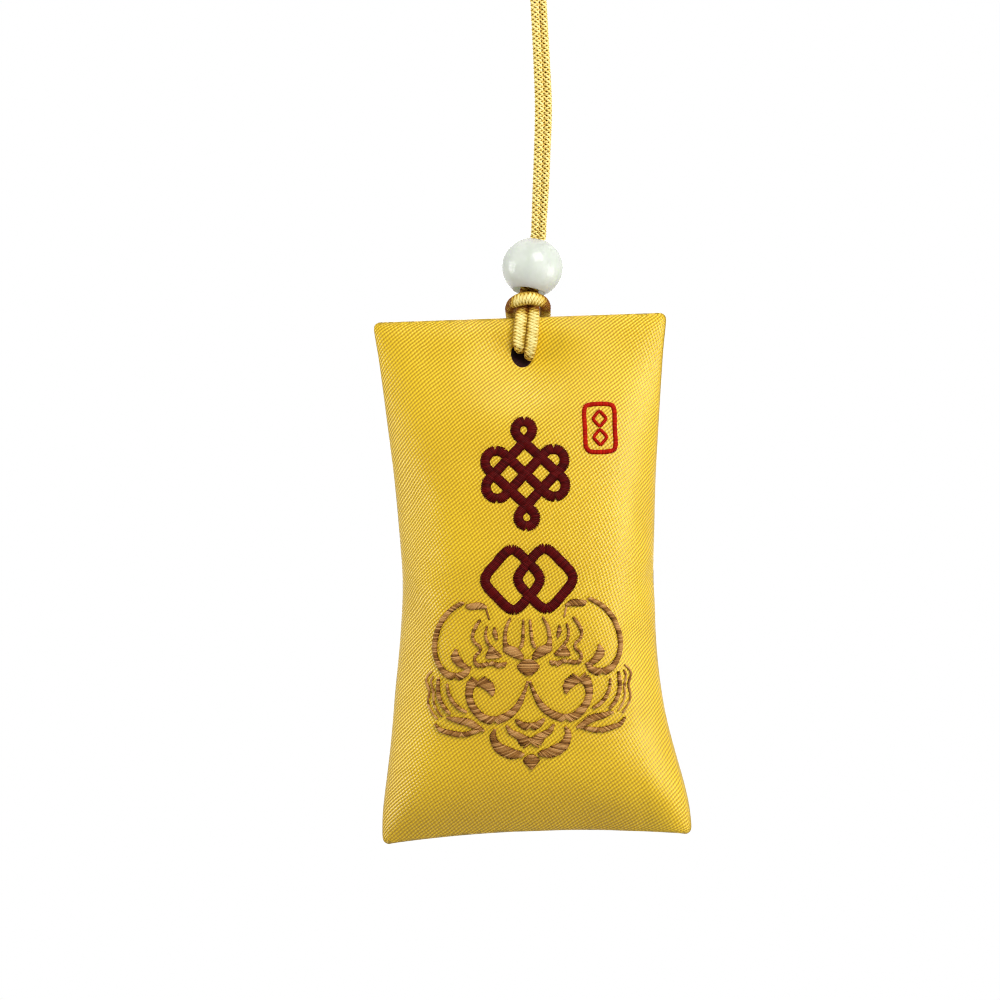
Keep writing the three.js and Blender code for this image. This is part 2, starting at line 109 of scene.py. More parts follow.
add_lamp("high_right", (190, -417, 308), 3.95)
add_lamp("low_right", (563, -152, -203), 1.85)
add_lamp("left", (-599, -52, -26), 2.55)
add_lamp("behind", (20, 600, 40), 1.5)

# %% Make the white surroundings
FILL_GREY = (0.08, 0.08, 0.08)
FLOOR_SIZE, FLOOR_HEIGHT = 1.1, -0.45


def white_to_camera(tree, plain):
    """A colour that is white to camera, glossy and transmission rays, and plain to the rest."""
    path = tree.nodes.new("ShaderNodeLightPath")
    seen = path.outputs["Is Camera Ray"]
    for ray in ("Is Glossy Ray", "Is Transmission Ray"):
        either = tree.nodes.new("ShaderNodeMath")
        either.operation = "MAXIMUM"
        tree.links.new(seen, either.inputs[0])
        tree.links.new(path.outputs[ray], either.inputs[1])
        seen = either.outputs[0]
    mix = tree.nodes.new("ShaderNodeMix")
    mix.data_type = "RGBA"
    tree.links.new(seen, mix.inputs["Factor"])
    mix.inputs[6].default_value = (*plain, 1)
    mix.inputs[7].default_value = (1, 1, 1, 1)
    return mix.outputs[2]


world = bpy.data.worlds.new("studio")
scene.world = world
world.use_nodes = True
background = world.node_tree.nodes["Background"]
world.node_tree.links.new(white_to_camera(world.node_tree, FILL_GREY), background.inputs[0])

bpy.ops.object.select_all(action="DESELECT")
bpy.ops.mesh.primitive_plane_add(size=FLOOR_SIZE, location=(0, 0, FLOOR_HEIGHT))
floor = bpy.context.object
floor.name = "floor"
floor_paint = bpy.data.materials.new("floor_paint")
floor_paint.use_nodes = True
floor_shader = floor_paint.node_tree.nodes["Principled BSDF"]
floor_shader.inputs["Base Color"].default_value = (0.86, 0.86, 0.86, 1)
floor_shader.inputs["Roughness"].default_value = 0.9
floor.data.materials.append(floor_paint)
print("floor at", floor.location.z, "m")

# %% [markdown]
# ## Finishes
# Every finish is made of nodes. A few small helpers keep the node code readable: they add a node
# and fill its inputs, do arithmetic, make noise, run through colours, start a finish with its fixed
# values, and give it relief.

# %% Helpers for the finishes
def add_node(tree, kind, inputs=None, **settings):
    """Adds a node. An input may be a number, a colour or another node's output."""
    made = tree.nodes.new(kind)
    for name, value in settings.items():
        setattr(made, name, value)
    for name, value in (inputs or {}).items():
        if isinstance(value, bpy.types.NodeSocket):
            tree.links.new(value, made.inputs[name])
        else:
            made.inputs[name].default_value = value
    return made


def maths(tree, operation, first, second=0.0):
    """One step of arithmetic in a node tree."""
    return add_node(tree, "ShaderNodeMath", {0: first, 1: second}, operation=operation).outputs[0]


def noise(tree, place, scale, detail):
    """A soft noise between 0 and 1."""
    inputs = {"Vector": place, "Scale": scale, "Detail": detail}
    return add_node(tree, "ShaderNodeTexNoise", inputs).outputs[0]


def colour_steps(tree, factor, stops):
    """A colour that runs through the stops as the factor goes from 0 to 1."""
    ramp = add_node(tree, "ShaderNodeValToRGB", {0: factor})
    points = ramp.color_ramp.elements
    points[0].position, points[0].color = stops[0][0], (*stops[0][1], 1)
    points[1].position, points[1].color = stops[-1][0], (*stops[-1][1], 1)
    for place, colour in stops[1:-1]:
        points.new(place).color = (*colour, 1)
    return ramp.outputs[0]


def start_finish(name, **values):
    """A new finish whose Principled inputs take the given fixed values."""
    finish = bpy.data.materials.new(name)
    finish.use_nodes = True
    shader = finish.node_tree.nodes["Principled BSDF"]
    for key, value in values.items():
        shader.inputs[key.replace("_", " ")].default_value = value
    return finish, finish.node_tree, shader


def add_relief(tree, shader, height, strength, distance):
    """Shades a height as relief. The distance is in metres."""
    bump = add_node(tree, "ShaderNodeBump", {"Strength": strength, "Distance": distance, "Height": height})
    tree.links.new(bump.outputs[0], shader.inputs["Normal"])


print("helpers ready")

# %% [markdown]
# ### Satin
# The cloth is a satin twill: fine ribs climb to the right at about 38 degrees, 0.4 mm apart, and
# a second, weaker set of lines breaks each rib into short floats. The gold is painted darker between
# the ribs and lighter on their crests, as their shade and light. The pattern has to bend with the
# cloth, so it reads a UV map that holds each panel's flat cutting pattern, in millimetres. Towards
# the bottom seam of the front the gold is darkened by painted shade, though not in the right corner.

# %% Satin
RIB_PITCH, RIB_SLANT, FLOAT_SLANT = 0.415, math.radians(38), math.radians(-68)
# Painted shade on the front towards the bottom seam: the rises where it starts and ends, how much it darkens
# the gold, and where it fades out towards the right corner.
PAINTED_SHADE_FROM, PAINTED_SHADE_TO, PAINTED_SHADE_AMOUNT = -24.0, -33.0, 0.2
CORNER_FROM, CORNER_TO = 17.0, 11.0


def make_satin(name, low, middle, high):
    """Satin in three golds for between the ribs, their flanks and their crests: painted shade and light of
    the ribs.
    """
    finish, tree, shader = start_finish(name, Roughness=0.34, Specular_IOR_Level=0.7)
    shader.inputs["Specular Tint"].default_value = (1.0, 0.92, 0.58, 1)
    cloth = add_node(tree, "ShaderNodeUVMap", uv_map="cloth").outputs[0]
    flat = add_node(tree, "ShaderNodeSeparateXYZ", {0: cloth})
    uneven = noise(tree, cloth, 0.5, 3.0)

    def ribs(slant):
        """A wave across lines that climb at the given slant."""
        rise = maths(tree, "MULTIPLY", flat.outputs[1], math.cos(slant) / RIB_PITCH)
        run = maths(tree, "MULTIPLY", flat.outputs[0], math.sin(slant) / RIB_PITCH)
        place = maths(tree, "ADD", maths(tree, "SUBTRACT", rise, run), maths(tree, "MULTIPLY", uneven, 0.7))
        return maths(tree, "SINE", maths(tree, "MULTIPLY", place, 2 * math.pi))

    def fade(value, start, end, most=1.0):
        """Goes from 0 at the start to the most at the end."""
        inputs = {"Value": value, "From Min": start, "From Max": end, "To Max": most}
        return add_node(tree, "ShaderNodeMapRange", inputs).outputs[0]

    rib_wave = maths(tree, "ADD", maths(tree, "MULTIPLY", ribs(RIB_SLANT), 0.5), 0.5)
    crest = maths(tree, "MULTIPLY", maths(tree, "POWER", rib_wave, 0.6), 0.75)
    height = maths(tree, "ADD", crest, maths(tree, "MULTIPLY", ribs(FLOAT_SLANT), 0.14))
    patch = noise(tree, cloth, 0.09, 2.0)
    tone = maths(tree, "ADD", height, maths(tree, "MULTIPLY", maths(tree, "SUBTRACT", patch, 0.5), 0.35))
    # Painted shade: the front's gold darkens towards the bottom seam, fading out towards the right corner and
    # absent on the back.
    painted_bottom_shade = fade(flat.outputs[1], PAINTED_SHADE_FROM, PAINTED_SHADE_TO, PAINTED_SHADE_AMOUNT)
    inward = fade(flat.outputs[0], CORNER_FROM, CORNER_TO)
    tone = maths(tree, "SUBTRACT", tone, maths(tree, "MULTIPLY", painted_bottom_shade, inward))
    # The gold follows the rib height: painted shade between the ribs and painted light on their crests.
    gold = colour_steps(tree, tone, [(0.0, low), (0.55, middle), (1.0, high)])
    tree.links.new(gold, shader.inputs["Base Color"])
    add_relief(tree, shader, height, 0.8, 0.0001)
    return finish


satin = make_satin("satin", (0.44, 0.24, 0.002), (0.72, 0.45, 0.006), (0.94, 0.67, 0.025))
print("finish:", satin.name)

# %% [markdown]
# ### Threads, cord, stone, paper and wadding
# A stitch or a yarn is real geometry here. Each mesh carries a number called tone, which differs at
# random from one thread to the next and also holds painted shade and light along each thread. The
# stone is slightly translucent, and its clouding is a soft noise.

# %% Thread finishes
def make_thread(name, shades, shine):
    """A thread finish that runs through the shades, dark to light, as the tone goes from 0 to 1."""
    finish, tree, shader = start_finish(name, Roughness=0.45, Specular_IOR_Level=shine)
    tone = add_node(tree, "ShaderNodeAttribute", attribute_name="tone").outputs["Fac"]
    place = add_node(tree, "ShaderNodeTexCoord").outputs["Object"]
    fuzz = noise(tree, place, 5200.0, 2.0)
    mixed = maths(tree, "ADD", tone, maths(tree, "MULTIPLY", maths(tree, "SUBTRACT", fuzz, 0.5), 0.5))
    stops = [(i / (len(shades) - 1), shade) for i, shade in enumerate(shades)]
    tree.links.new(colour_steps(tree, mixed, stops), shader.inputs["Base Color"])
    add_relief(tree, shader, fuzz, 0.3, 0.00003)
    return finish


CORD_SHADES = [(0.2, 0.06, 0.001), (0.66, 0.43, 0.05), (1.0, 0.86, 0.34)]
MAROON_SHADES = [(0.03, 0.001, 0.001), (0.1, 0.004, 0.004)]
RED_SHADES = [(0.25, 0.003, 0.001), (0.47, 0.01, 0.002)]
BRONZE_SHADES = [(0.05, 0.012, 0.001), (0.3, 0.13, 0.03), (0.56, 0.3, 0.1)]
SEWING_SHADES = [(0.5, 0.28, 0.012), (0.74, 0.47, 0.03)]
cord_yarn = make_thread("cord_yarn", CORD_SHADES, 0.15)
maroon_thread = make_thread("maroon_thread", MAROON_SHADES, 0.04)
red_thread = make_thread("red_thread", RED_SHADES, 0.06)
bronze_thread = make_thread("bronze_thread", BRONZE_SHADES, 0.06)
sewing_thread = make_thread("sewing_thread", SEWING_SHADES, 0.3)
print("thread finishes made")

# %% Stone, paper and wadding
def make_stone():
    """Polished stone: light goes a little way in, and a noise clouds it."""
    finish, tree, shader = start_finish(
        "stone", Roughness=0.18, Specular_IOR_Level=0.3, Subsurface_Weight=0.7, Subsurface_Scale=0.004,
    )
    shader.inputs["Subsurface Radius"].default_value = (0.9, 1.0, 0.8)
    place = add_node(tree, "ShaderNodeTexCoord").outputs["Object"]
    cloud = noise(tree, place, 260.0, 5.0)
    colour = colour_steps(tree, cloud, [(0.3, (0.59, 0.63, 0.56)), (0.7, (0.7, 0.73, 0.66))])
    tree.links.new(colour, shader.inputs["Base Color"])
    return finish


def make_fibrous(name, dark, light, grain):
    """A matt finish of fine fibres. A larger grain makes them finer."""
    finish, tree, shader = start_finish(name, Roughness=0.9, Specular_IOR_Level=0.2)
    place = add_node(tree, "ShaderNodeTexCoord").outputs["Object"]
    fibre = noise(tree, place, grain, 6.0)
    tree.links.new(colour_steps(tree, fibre, [(0.3, dark), (0.7, light)]), shader.inputs["Base Color"])
    add_relief(tree, shader, fibre, 0.4, 0.0001)
    return finish


stone = make_stone()
paper = make_fibrous("paper", (0.8, 0.64, 0.26), (0.9, 0.76, 0.38), 900.0)
wadding = make_fibrous("wadding", (0.8, 0.78, 0.72), (0.93, 0.91, 0.86), 1500.0)
# The wall of the hole: a near-black finish that paints the shade inside the hole.
painted_shade_hole_wall = make_fibrous("painted_shade_hole_wall", (0.012, 0.003, 0.004), (0.03, 0.006, 0.007), 3000.0)
print("stone, paper, wadding and cut edge made")

# %% [markdown]
# ## The cord
# One soft braid, about a millimetre and a quarter thick, runs from the end knot down through
# the bead, makes the cow hitch and comes back up. A plain tube would look like wire, so eight
# yarns are swept along the cord's line, four each way round, and pass over and under each other.
# Where the cord is drawn tight over the cloth it goes flat and wide, so each point of its line has
# a width and a depth of its own.

# %% The cord's line
HOLE = Vector((-3.9, 0.0, -51.0))
CORD_THICK = 1.24
CORD_SPACING = 0.15
CURVE_STEPS = 24


def smooth_line(points, spacing):
    """Points at even spacing on a smooth curve through the given points."""
    ends = [2 * points[0] - points[1], *points, 2 * points[-1] - points[-2]]
    fine = []
    for a, b, c, d in zip(ends, ends[1:], ends[2:], ends[3:]):
        for k in range(CURVE_STEPS):
            t = k / CURVE_STEPS
            fine.append(0.5 * (2 * b + (c - a) * t + (2 * a - 5 * b + 4 * c - d) * t * t
                               + (3 * b - a - 3 * c + d) * t ** 3))
    fine = np.array([*fine, points[-1]])
    reach = np.concatenate([[0], np.cumsum(np.linalg.norm(np.diff(fine, axis=0), axis=1))])
    count = max(2, int(round(reach[-1] / spacing)))
    at = np.linspace(0, reach[-1], count + 1)
    return np.stack([np.interp(at, reach, fine[:, i]) for i in range(fine.shape[1])], axis=1)


# Each row: right of the hole, towards the back, up from the hole, and the cord's width and depth
# against a round one. A sixth number darkens the yarn where it lies in shade: under the bead, on
# the sides of the arch and in the hole. The left strand is tucked under the right one where they
# enter the hole.
LEFT_STRAND = [
    (3.38, -0.25, 50.7, 1.0, 1.0), (3.47, -0.28, 46.0, 1.0, 1.0), (3.58, -0.3, 40.0, 1.05, 1.0),
    (3.6, -0.3, 33.6, 1.08, 1.0), (3.2, -0.2, 27.1, 1.05, 1.0), (2.86, 0.05, 22.3, 1.05, 1.0),
    (2.55, 0.4, 18.0, 1.0, 1.0), (2.33, 0.5, 16.0, 1.0, 1.0), (1.4, -0.1, 12.4, 1.0, 1.0),
    (0.85, -0.95, 9.3, 1.2, 1.0, 0.6), (0.55, -1.35, 7.7, 1.35, 0.9, 1.8),
    (0.25, -1.7, 5.8, 1.55, 0.7, 0.1), (-0.05, -1.98, 3.9, 1.6, 0.68), (-0.25, -2.02, 2.4, 1.5, 0.72),
    (-0.2, -1.75, 1.35, 1.25, 0.85, 0.2), (0.0, -0.9, 1.25, 1.05, 1.0, 0.5),
    (-0.1, 0.3, 2.7, 1.0, 1.0, 0.5), (-0.2, 1.4, 3.9, 1.0, 1.0), (-0.6, 2.2, 4.4, 1.1, 0.95),
    (-0.9, 2.3, 4.9, 1.2, 0.9),
]
ARCH = [
    (-1.1, 2.0, 5.6, 1.3, 0.95), (-1.15, 1.3, 6.4, 1.35, 1.05, 0.2), (-1.15, 0.1, 7.0, 1.3, 1.2, 0.6),
    (-0.85, -1.3, 7.4, 1.0, 1.4, 0.4), (0.05, -2.1, 7.8, 0.9, 1.55), (1.15, -2.35, 7.98, 0.85, 1.6, 0.1),
    (2.25, -2.1, 7.83, 0.9, 1.55), (3.15, -1.3, 7.45, 1.0, 1.4, 0.4), (3.45, 0.1, 7.05, 1.3, 1.2, 0.6),
    (3.45, 1.3, 6.4, 1.35, 1.05, 0.2), (3.4, 2.0, 5.6, 1.3, 0.95),
]
RIGHT_STRAND = [
    (4.45, 0.25, 50.7, 1.0, 1.0), (4.55, 0.28, 46.0, 1.0, 1.0), (4.66, 0.3, 40.0, 1.05, 1.0),
    (4.7, 0.3, 33.6, 1.08, 1.0), (4.28, 0.25, 27.1, 1.05, 1.0), (3.9, 0.3, 22.3, 1.05, 1.0),
    (3.48, 0.5, 18.0, 1.0, 1.0), (3.28, 0.5, 16.0, 1.0, 1.0), (2.4, -0.1, 12.4, 1.0, 1.0),
    (2.0, -0.95, 9.3, 1.2, 1.0, 0.6), (1.85, -1.35, 7.7, 1.35, 0.9, 1.8),
    (1.83, -1.8, 5.8, 1.55, 0.7, 0.1), (1.65, -2.2, 3.7, 1.6, 0.68), (1.4, -2.3, 1.85, 1.55, 0.72),
    (1.15, -2.05, 0.5, 1.3, 0.85, 0.2), (1.05, -1.2, 0.2, 1.05, 1.0, 0.5),
    (0.8, 0.1, 1.55, 1.0, 1.0, 0.5), (0.5, 1.3, 2.9, 1.0, 1.0), (1.35, 2.25, 3.7, 1.1, 0.95),
    (2.6, 2.35, 4.6, 1.2, 0.9),
]
route = [*LEFT_STRAND, *ARCH, *reversed(RIGHT_STRAND)]
placed = [np.array([HOLE.x + x, HOLE.y + y, HOLE.z + z, *form, 0][:6]) for x, y, z, *form in route]
cord_line = smooth_line(placed, CORD_SPACING)

# %% Sweep the braid
YARNS, YARN_SIDES, BRAID_LAY = 8, 6, 2.6
FLAT_FROM, FLAT_OVER = 1.1, 0.3


def mesh_piece(name, points, faces, finish, tone=None):
    """A smooth piece at the origin. Points are in millimetres."""
    mesh = bpy.data.meshes.new(name)
    mesh.from_pydata((np.asarray(points) * MM).tolist(), [], faces)
    if tone is not None:
        mesh.attributes.new("tone", "FLOAT", "POINT").data.foreach_set("value", np.asarray(tone, np.float32))
    mesh.materials.append(finish)
    piece = bpy.data.objects.new(name, mesh)
    bpy.context.collection.objects.link(piece)
    mesh.shade_smooth()
    return piece


def gather(points, faces, more_points, more_faces):
    """Adds the points and faces of one mesh to those of another."""
    base = len(points)
    points.extend(more_points)
    faces.extend([[base + i for i in face] for face in more_faces])


def turning_frame(line):
    """Two directions square to a line at each point, carried along it without twist."""
    ahead = np.gradient(line, axis=0)
    ahead /= np.linalg.norm(ahead, axis=1)[:, None]
    across = np.zeros_like(line)
    side = np.array((1.0, 0.0, 0.0))
    for i, direction in enumerate(ahead):
        side = side - direction * side.dot(direction)
        side /= np.linalg.norm(side)
        across[i] = side
    return across, np.cross(ahead, across)


def braid(line):
    """Points, faces and tones of the yarns braided along a line of x, y, z, width, depth, dark."""
    across, deep = turning_frame(line[:, :3])
    radius = CORD_THICK / 2
    # Where the cord is flattened it is tight: its yarns lie closer, broader and less raised.
    tight = np.clip((np.maximum(line[:, 3], line[:, 4]) - FLAT_FROM) / FLAT_OVER, 0, 1)
    steps = np.linalg.norm(np.diff(line[:, :3], axis=0), axis=1)
    run = np.concatenate([[0], np.cumsum(steps * (1 + 0.5 * tight[1:]))])
    flat, middle = 0.22 * radius, 0.64 * radius
    wide, weave = (0.4 + 0.18 * tight) * radius, (0.16 - 0.08 * tight) * radius
    points, faces, tone = [], [], []
    chance = random.Random(4)
    for yarn in range(YARNS):
        hand = 1 if yarn < YARNS / 2 else -1
        angle = hand * 2 * math.pi * run / BRAID_LAY + math.pi / 2 * (yarn % 4)
        lift = hand * np.cos(4 * angle)
        shade = 0.58 + chance.uniform(-0.14, 0.14)
        first = len(points)
        for k in range(YARN_SIDES):
            turn = 2 * math.pi * k / YARN_SIDES
            out = middle + weave * lift + flat * math.cos(turn)
            along = wide * math.sin(turn)
            x = (out * np.cos(angle) - along * np.sin(angle)) * line[:, 3]
            y = (out * np.sin(angle) + along * np.cos(angle)) * line[:, 4]
            offset = across * x[:, None] + deep * y[:, None]
            points.extend(line[:, :3] + offset)
            # The tone paints shade and light onto the yarns: sunk yarns darker and raised ones lighter, each
            # yarn's inner side much darker, and where the cord is tight its sides darker and its faces
            # lighter.
            front_share = np.abs(offset[:, 1]) / np.linalg.norm(offset, axis=1)
            painted_yarn_shade = math.cos(turn) * (0.3 if math.cos(turn) > 0 else 0.9)
            tone.extend(shade + 0.2 * lift + painted_yarn_shade + tight * (0.9 * front_share - 0.66) - line[:, 5])
        count = len(line)
        for k in range(YARN_SIDES):
            a, b = first + k * count, first + (k + 1) % YARN_SIDES * count
            faces.extend([(a + i, a + i + 1, b + i + 1, b + i) for i in range(count - 1)])
        faces.append([first + k * count for k in range(YARN_SIDES)])
        faces.append([first + k * count + count - 1 for k in reversed(range(YARN_SIDES))])
    return points, faces, tone


def pick(piece):
    """Selects one piece alone and makes it the active one."""
    bpy.ops.object.select_all(action="DESELECT")
    piece.select_set(True)
    bpy.context.view_layer.objects.active = piece


def outward(piece):
    """Turns every face of a closed piece to the outside."""
    pick(piece)
    bpy.ops.object.mode_set(mode="EDIT")
    bpy.ops.mesh.select_all(action="SELECT")
    bpy.ops.mesh.normals_make_consistent(inside=False)
    bpy.ops.object.mode_set(mode="OBJECT")
    return piece


points, faces, tone = braid(cord_line)
cord = outward(mesh_piece("cord", points, faces, cord_yarn, tone))
print("cord faces:", len(cord.data.polygons))

# %% Tie the end knot
KNOT_LOW, KNOT_HIGH = 0.9, 3.9
WRAP_RADIUS, WRAP_TURNS, WRAP_POINTS = 1.32, 2.3, 36
KNOT_SPACING = 0.16
# Each row: out from the middle, up, and the tail's thickness against the cord's.
TAIL = [(0.55, -0.9, 1), (0.6, 1.0, 1), (0.62, 2.4, 1), (0.8, 5.2, 1), (1.25, 7.4, 1), (2.0, 9.8, 1.15)]
turns = np.linspace(0, WRAP_TURNS * 2 * math.pi, WRAP_POINTS)
rises = np.linspace(KNOT_LOW, KNOT_HIGH, WRAP_POINTS)
wraps = [
    np.array((WRAP_RADIUS * math.cos(turn), WRAP_RADIUS * math.sin(turn), rise, 1, 1, 0))
    for turn, rise in zip(turns, rises)
]
tails = [[np.array((side * x, 0, z, thick, thick, 0)) for x, z, thick in TAIL] for side in (-1, 1)]
knot_points, knot_faces, knot_tone = [], [], []
for line in (wraps, *tails):
    points, faces, tone = braid(smooth_line(line, KNOT_SPACING))
    gather(knot_points, knot_faces, points, faces)
    knot_tone.extend(tone)
end_knot = outward(mesh_piece("end_knot_and_tails", knot_points, knot_faces, cord_yarn, knot_tone))
print("end knot faces:", len(end_knot.data.polygons))

# %% [markdown]
# ## The bead
# A round polished stone bead, drilled through. A sphere is cut flat where the drill goes in,
# the two openings are bridged into a bore, and the rims are rounded as polishing rounds them.

# %% Turn and drill the bead
BEAD_MIDDLE = Vector((HOLE.x + 1.95, 0.0, HOLE.z + 12.2))
BEAD_RADIUS, BORE_RADIUS, RIM_ROUND = 4.16, 2.05, 0.24
BEAD_FLATTENED = 0.98
BEAD_TIPPED, BEAD_TURNED = math.radians(-13), math.atan(0.2)
bpy.ops.object.select_all(action="DESELECT")
bpy.ops.mesh.primitive_uv_sphere_add(segments=48, ring_count=36, radius=BEAD_RADIUS * MM)
bead = bpy.context.object
bead.name = "stone_bead"
rim_height = math.sqrt(BEAD_RADIUS ** 2 - BORE_RADIUS ** 2) * MM
bpy.ops.object.mode_set(mode="EDIT")
for height, above in ((rim_height, True), (-rim_height, False)):
    bpy.ops.mesh.select_all(action="SELECT")
    bpy.ops.mesh.bisect(
        plane_co=(0, 0, height), plane_no=(0, 0, 1),
        clear_outer=above, clear_inner=not above, use_fill=False,
    )
bpy.ops.mesh.select_all(action="DESELECT")
bpy.ops.mesh.select_non_manifold()
bpy.ops.mesh.bridge_edge_loops(number_cuts=3)
bpy.ops.mesh.select_all(action="SELECT")
bpy.ops.mesh.normals_make_consistent(inside=False)
bpy.ops.object.mode_set(mode="OBJECT")
rim = bead.modifiers.new("polished_rim", "BEVEL")
rim.width, rim.segments = RIM_ROUND * MM, 3
rim.limit_method, rim.angle_limit = "ANGLE", math.radians(40)
bpy.ops.object.modifier_apply(modifier="polished_rim")
bead.scale = (1, 1, BEAD_FLATTENED)
bead.rotation_euler = (BEAD_TIPPED, BEAD_TURNED, 0)
bead.location = BEAD_MIDDLE * MM
bpy.ops.object.transform_apply(location=True, rotation=True, scale=True)
bead.data.shade_smooth()
bead.data.materials.append(stone)
print("bead size in mm:", [round(s / MM, 2) for s in bead.dimensions])

# %% [markdown]
# ## The pouch
# Two flat panels are sewn together along all four edges and stuffed. The sides draw in because
# the cloth can't stretch, and that is hard to draw by hand, so a cloth simulation does it: the
# panels are laid face to face, joined round their border, and swelled by pressure from inside.
# Cloth behaves best near a metre in size, so the work is done ten times too large. The top edge
# and the rim of the hole are held, because the cord pins them.

# %% Cut and sew the panels
POUCH_WIDTH, POUCH_HEIGHT = 40.0, 70.6
# These two, and every rise on the pouch below, are measured up from its middle.
TOP_EDGE, HOLE_RISE = 35.0, 29.5
POUCH_MIDDLE = Vector((HOLE.x, 0.0, HOLE.z - HOLE_RISE))
COLUMNS, ROWS = 56, 98
LARGE = 0.01
PANEL_DEPTH = 0.2
BACK_PATTERN = 60


def lay_panel(name, depth):
    """A flat panel of cloth, ten times too large."""
    bpy.ops.object.select_all(action="DESELECT")
    bpy.ops.mesh.primitive_grid_add(
        x_subdivisions=COLUMNS, y_subdivisions=ROWS, size=1, location=(0, depth * LARGE, 0),
        rotation=(math.pi / 2, 0, 0),
    )
    panel = bpy.context.object
    panel.name = name
    panel.scale = (POUCH_WIDTH * LARGE, POUCH_HEIGHT * LARGE, 1)
    bpy.ops.object.transform_apply(location=True, rotation=True, scale=True)
    return panel


front = lay_panel("pouch", -PANEL_DEPTH)
back = lay_panel("back_panel_cut", PANEL_DEPTH)
pick(front)
back.select_set(True)
bpy.ops.object.join()
pouch = front
bpy.ops.object.mode_set(mode="EDIT")
bpy.ops.mesh.select_all(action="DESELECT")
bpy.ops.mesh.select_non_manifold()
bpy.ops.mesh.bridge_edge_loops()
bpy.ops.mesh.select_all(action="SELECT")
bpy.ops.mesh.normals_make_consistent(inside=False)
bpy.ops.object.mode_set(mode="OBJECT")

for layer in list(pouch.data.uv_layers):
    pouch.data.uv_layers.remove(layer)
cloth_map = pouch.data.uv_layers.new(name="cloth")
for loop in pouch.data.loops:
    spot = pouch.data.vertices[loop.vertex_index].co / LARGE
    cloth_map.data[loop.index].uv = (spot.x if spot.y < 0 else BACK_PATTERN - spot.x, spot.z)
print("sewn panels:", len(pouch.data.vertices), "points")

# %% Swell the pouch
HELD_EDGE, HELD_RIM = 0.4, 2.0
held = []
flat_places = np.array([(point.co.x, point.co.z) for point in pouch.data.vertices]) / LARGE
faces_out = [-1 if point.co.y < 0 else 1 for point in pouch.data.vertices]
pressed = pouch.vertex_groups.new(name="pressed")
for point in pouch.data.vertices:
    x, z = point.co.x / LARGE, point.co.z / LARGE
    away = math.hypot(x, z - HOLE_RISE)
    drop = POUCH_HEIGHT / 2 - z
    round_hole = math.exp(-(away / 6) ** 2) * min(1, drop / 4)
    point.co.y = faces_out[point.index] * (PANEL_DEPTH + round_hole) * LARGE
    ease = min(1, max(0, (drop - 1) / 22))
    pressed.add([point.index], 0.04 + 0.96 * ease * ease * (3 - 2 * ease), "REPLACE")
    if drop < HELD_EDGE or away < HELD_RIM:
        held.append(point.index)
pouch.vertex_groups.new(name="held").add(held, 1.0, "REPLACE")

pick(pouch)
swell = pouch.modifiers.new("swell", "CLOTH")
fabric = swell.settings
fabric.quality = 6
fabric.mass = 0.15
fabric.tension_stiffness = fabric.compression_stiffness = 40
fabric.shear_stiffness = 24
fabric.bending_stiffness = 6.0
fabric.air_damping = 2
fabric.use_pressure = True
fabric.uniform_pressure_force = 0
fabric.use_pressure_volume = True
fabric.target_volume = 0.027
fabric.pressure_factor = 0.6
fabric.vertex_group_pressure = "pressed"
fabric.vertex_group_mass = "held"
fabric.effector_weights.gravity = 0
swell.collision_settings.use_collision = False
SWELL_FRAMES = 40
for count in range(1, SWELL_FRAMES + 1):
    scene.frame_set(count)
bpy.ops.object.modifier_apply(modifier="swell")
scene.frame_set(1)
ease_creases = pouch.modifiers.new("ease_creases", "SMOOTH")
ease_creases.factor, ease_creases.iterations = 0.5, 20
bpy.ops.object.modifier_apply(modifier="ease_creases")
print("swollen size in mm:", [round(s / LARGE, 1) for s in pouch.dimensions])

# %% [markdown]
# The simulation gives the cloth its give and its soft creases. Its outline is then brought to the
# one read from the photograph: each column of cloth runs from the straight top edge to the slightly
# arched bottom edge, and each row is stretched to its width. Widths and depths are written down at
# a few places, as a share of the way down the pouch and a share of the largest size.

# %% Fit the outline
WIDTHS = [
    (0, 1.0), (0.03, 0.978), (0.055, 0.965), (0.18, 0.922), (0.315, 0.878), (0.5, 0.842), (0.64, 0.868),
    (0.775, 0.922), (0.86, 0.98), (0.93, 1.032), (0.97, 1.048), (1, 1.042),
]
DEPTHS = [
    (0, 0), (0.01, 0.12), (0.045, 0.155), (0.079, 0.195), (0.13, 0.335), (0.2, 0.595), (0.315, 0.855),
    (0.46, 0.985), (0.6, 1), (0.74, 0.93), (0.814, 0.85), (0.871, 0.765), (0.9, 0.685), (0.929, 0.56),
    (0.957, 0.38), (0.98, 0.195), (1, 0),
]
SEWN_HEIGHT, CORNER, BOTTOM_ARCH, CROWN = 70.4, 0.8, 1.15, 6.9
# Places every 0.05 mm down the pouch.
DROPS = np.linspace(0, SEWN_HEIGHT, 1409)


def eased(rows, reach):
    """Values at even steps down the pouch, eased over a reach in millimetres."""
    slips = np.linspace(-reach, reach, 13)
    return np.mean([np.interp((DROPS + slip) / SEWN_HEIGHT, *np.array(rows).T) for slip in slips], axis=0)


corner_rise = np.clip(CORNER - np.minimum(DROPS, SEWN_HEIGHT - DROPS), 0, CORNER)
HALF_WIDTHS = POUCH_WIDTH / 2 * eased(WIDTHS, 3) - CORNER + np.sqrt(CORNER ** 2 - corner_rise ** 2)
HALF_DEPTHS = CROWN * eased(DEPTHS, 1.2)


def half_width(drop):
    """Half the pouch's width at a distance below its top edge."""
    return np.interp(drop, DROPS, HALF_WIDTHS)


def half_depth(drop):
    """How far the wadding holds the middle of a panel out, at a distance below the top edge."""
    return np.interp(drop, DROPS, HALF_DEPTHS)


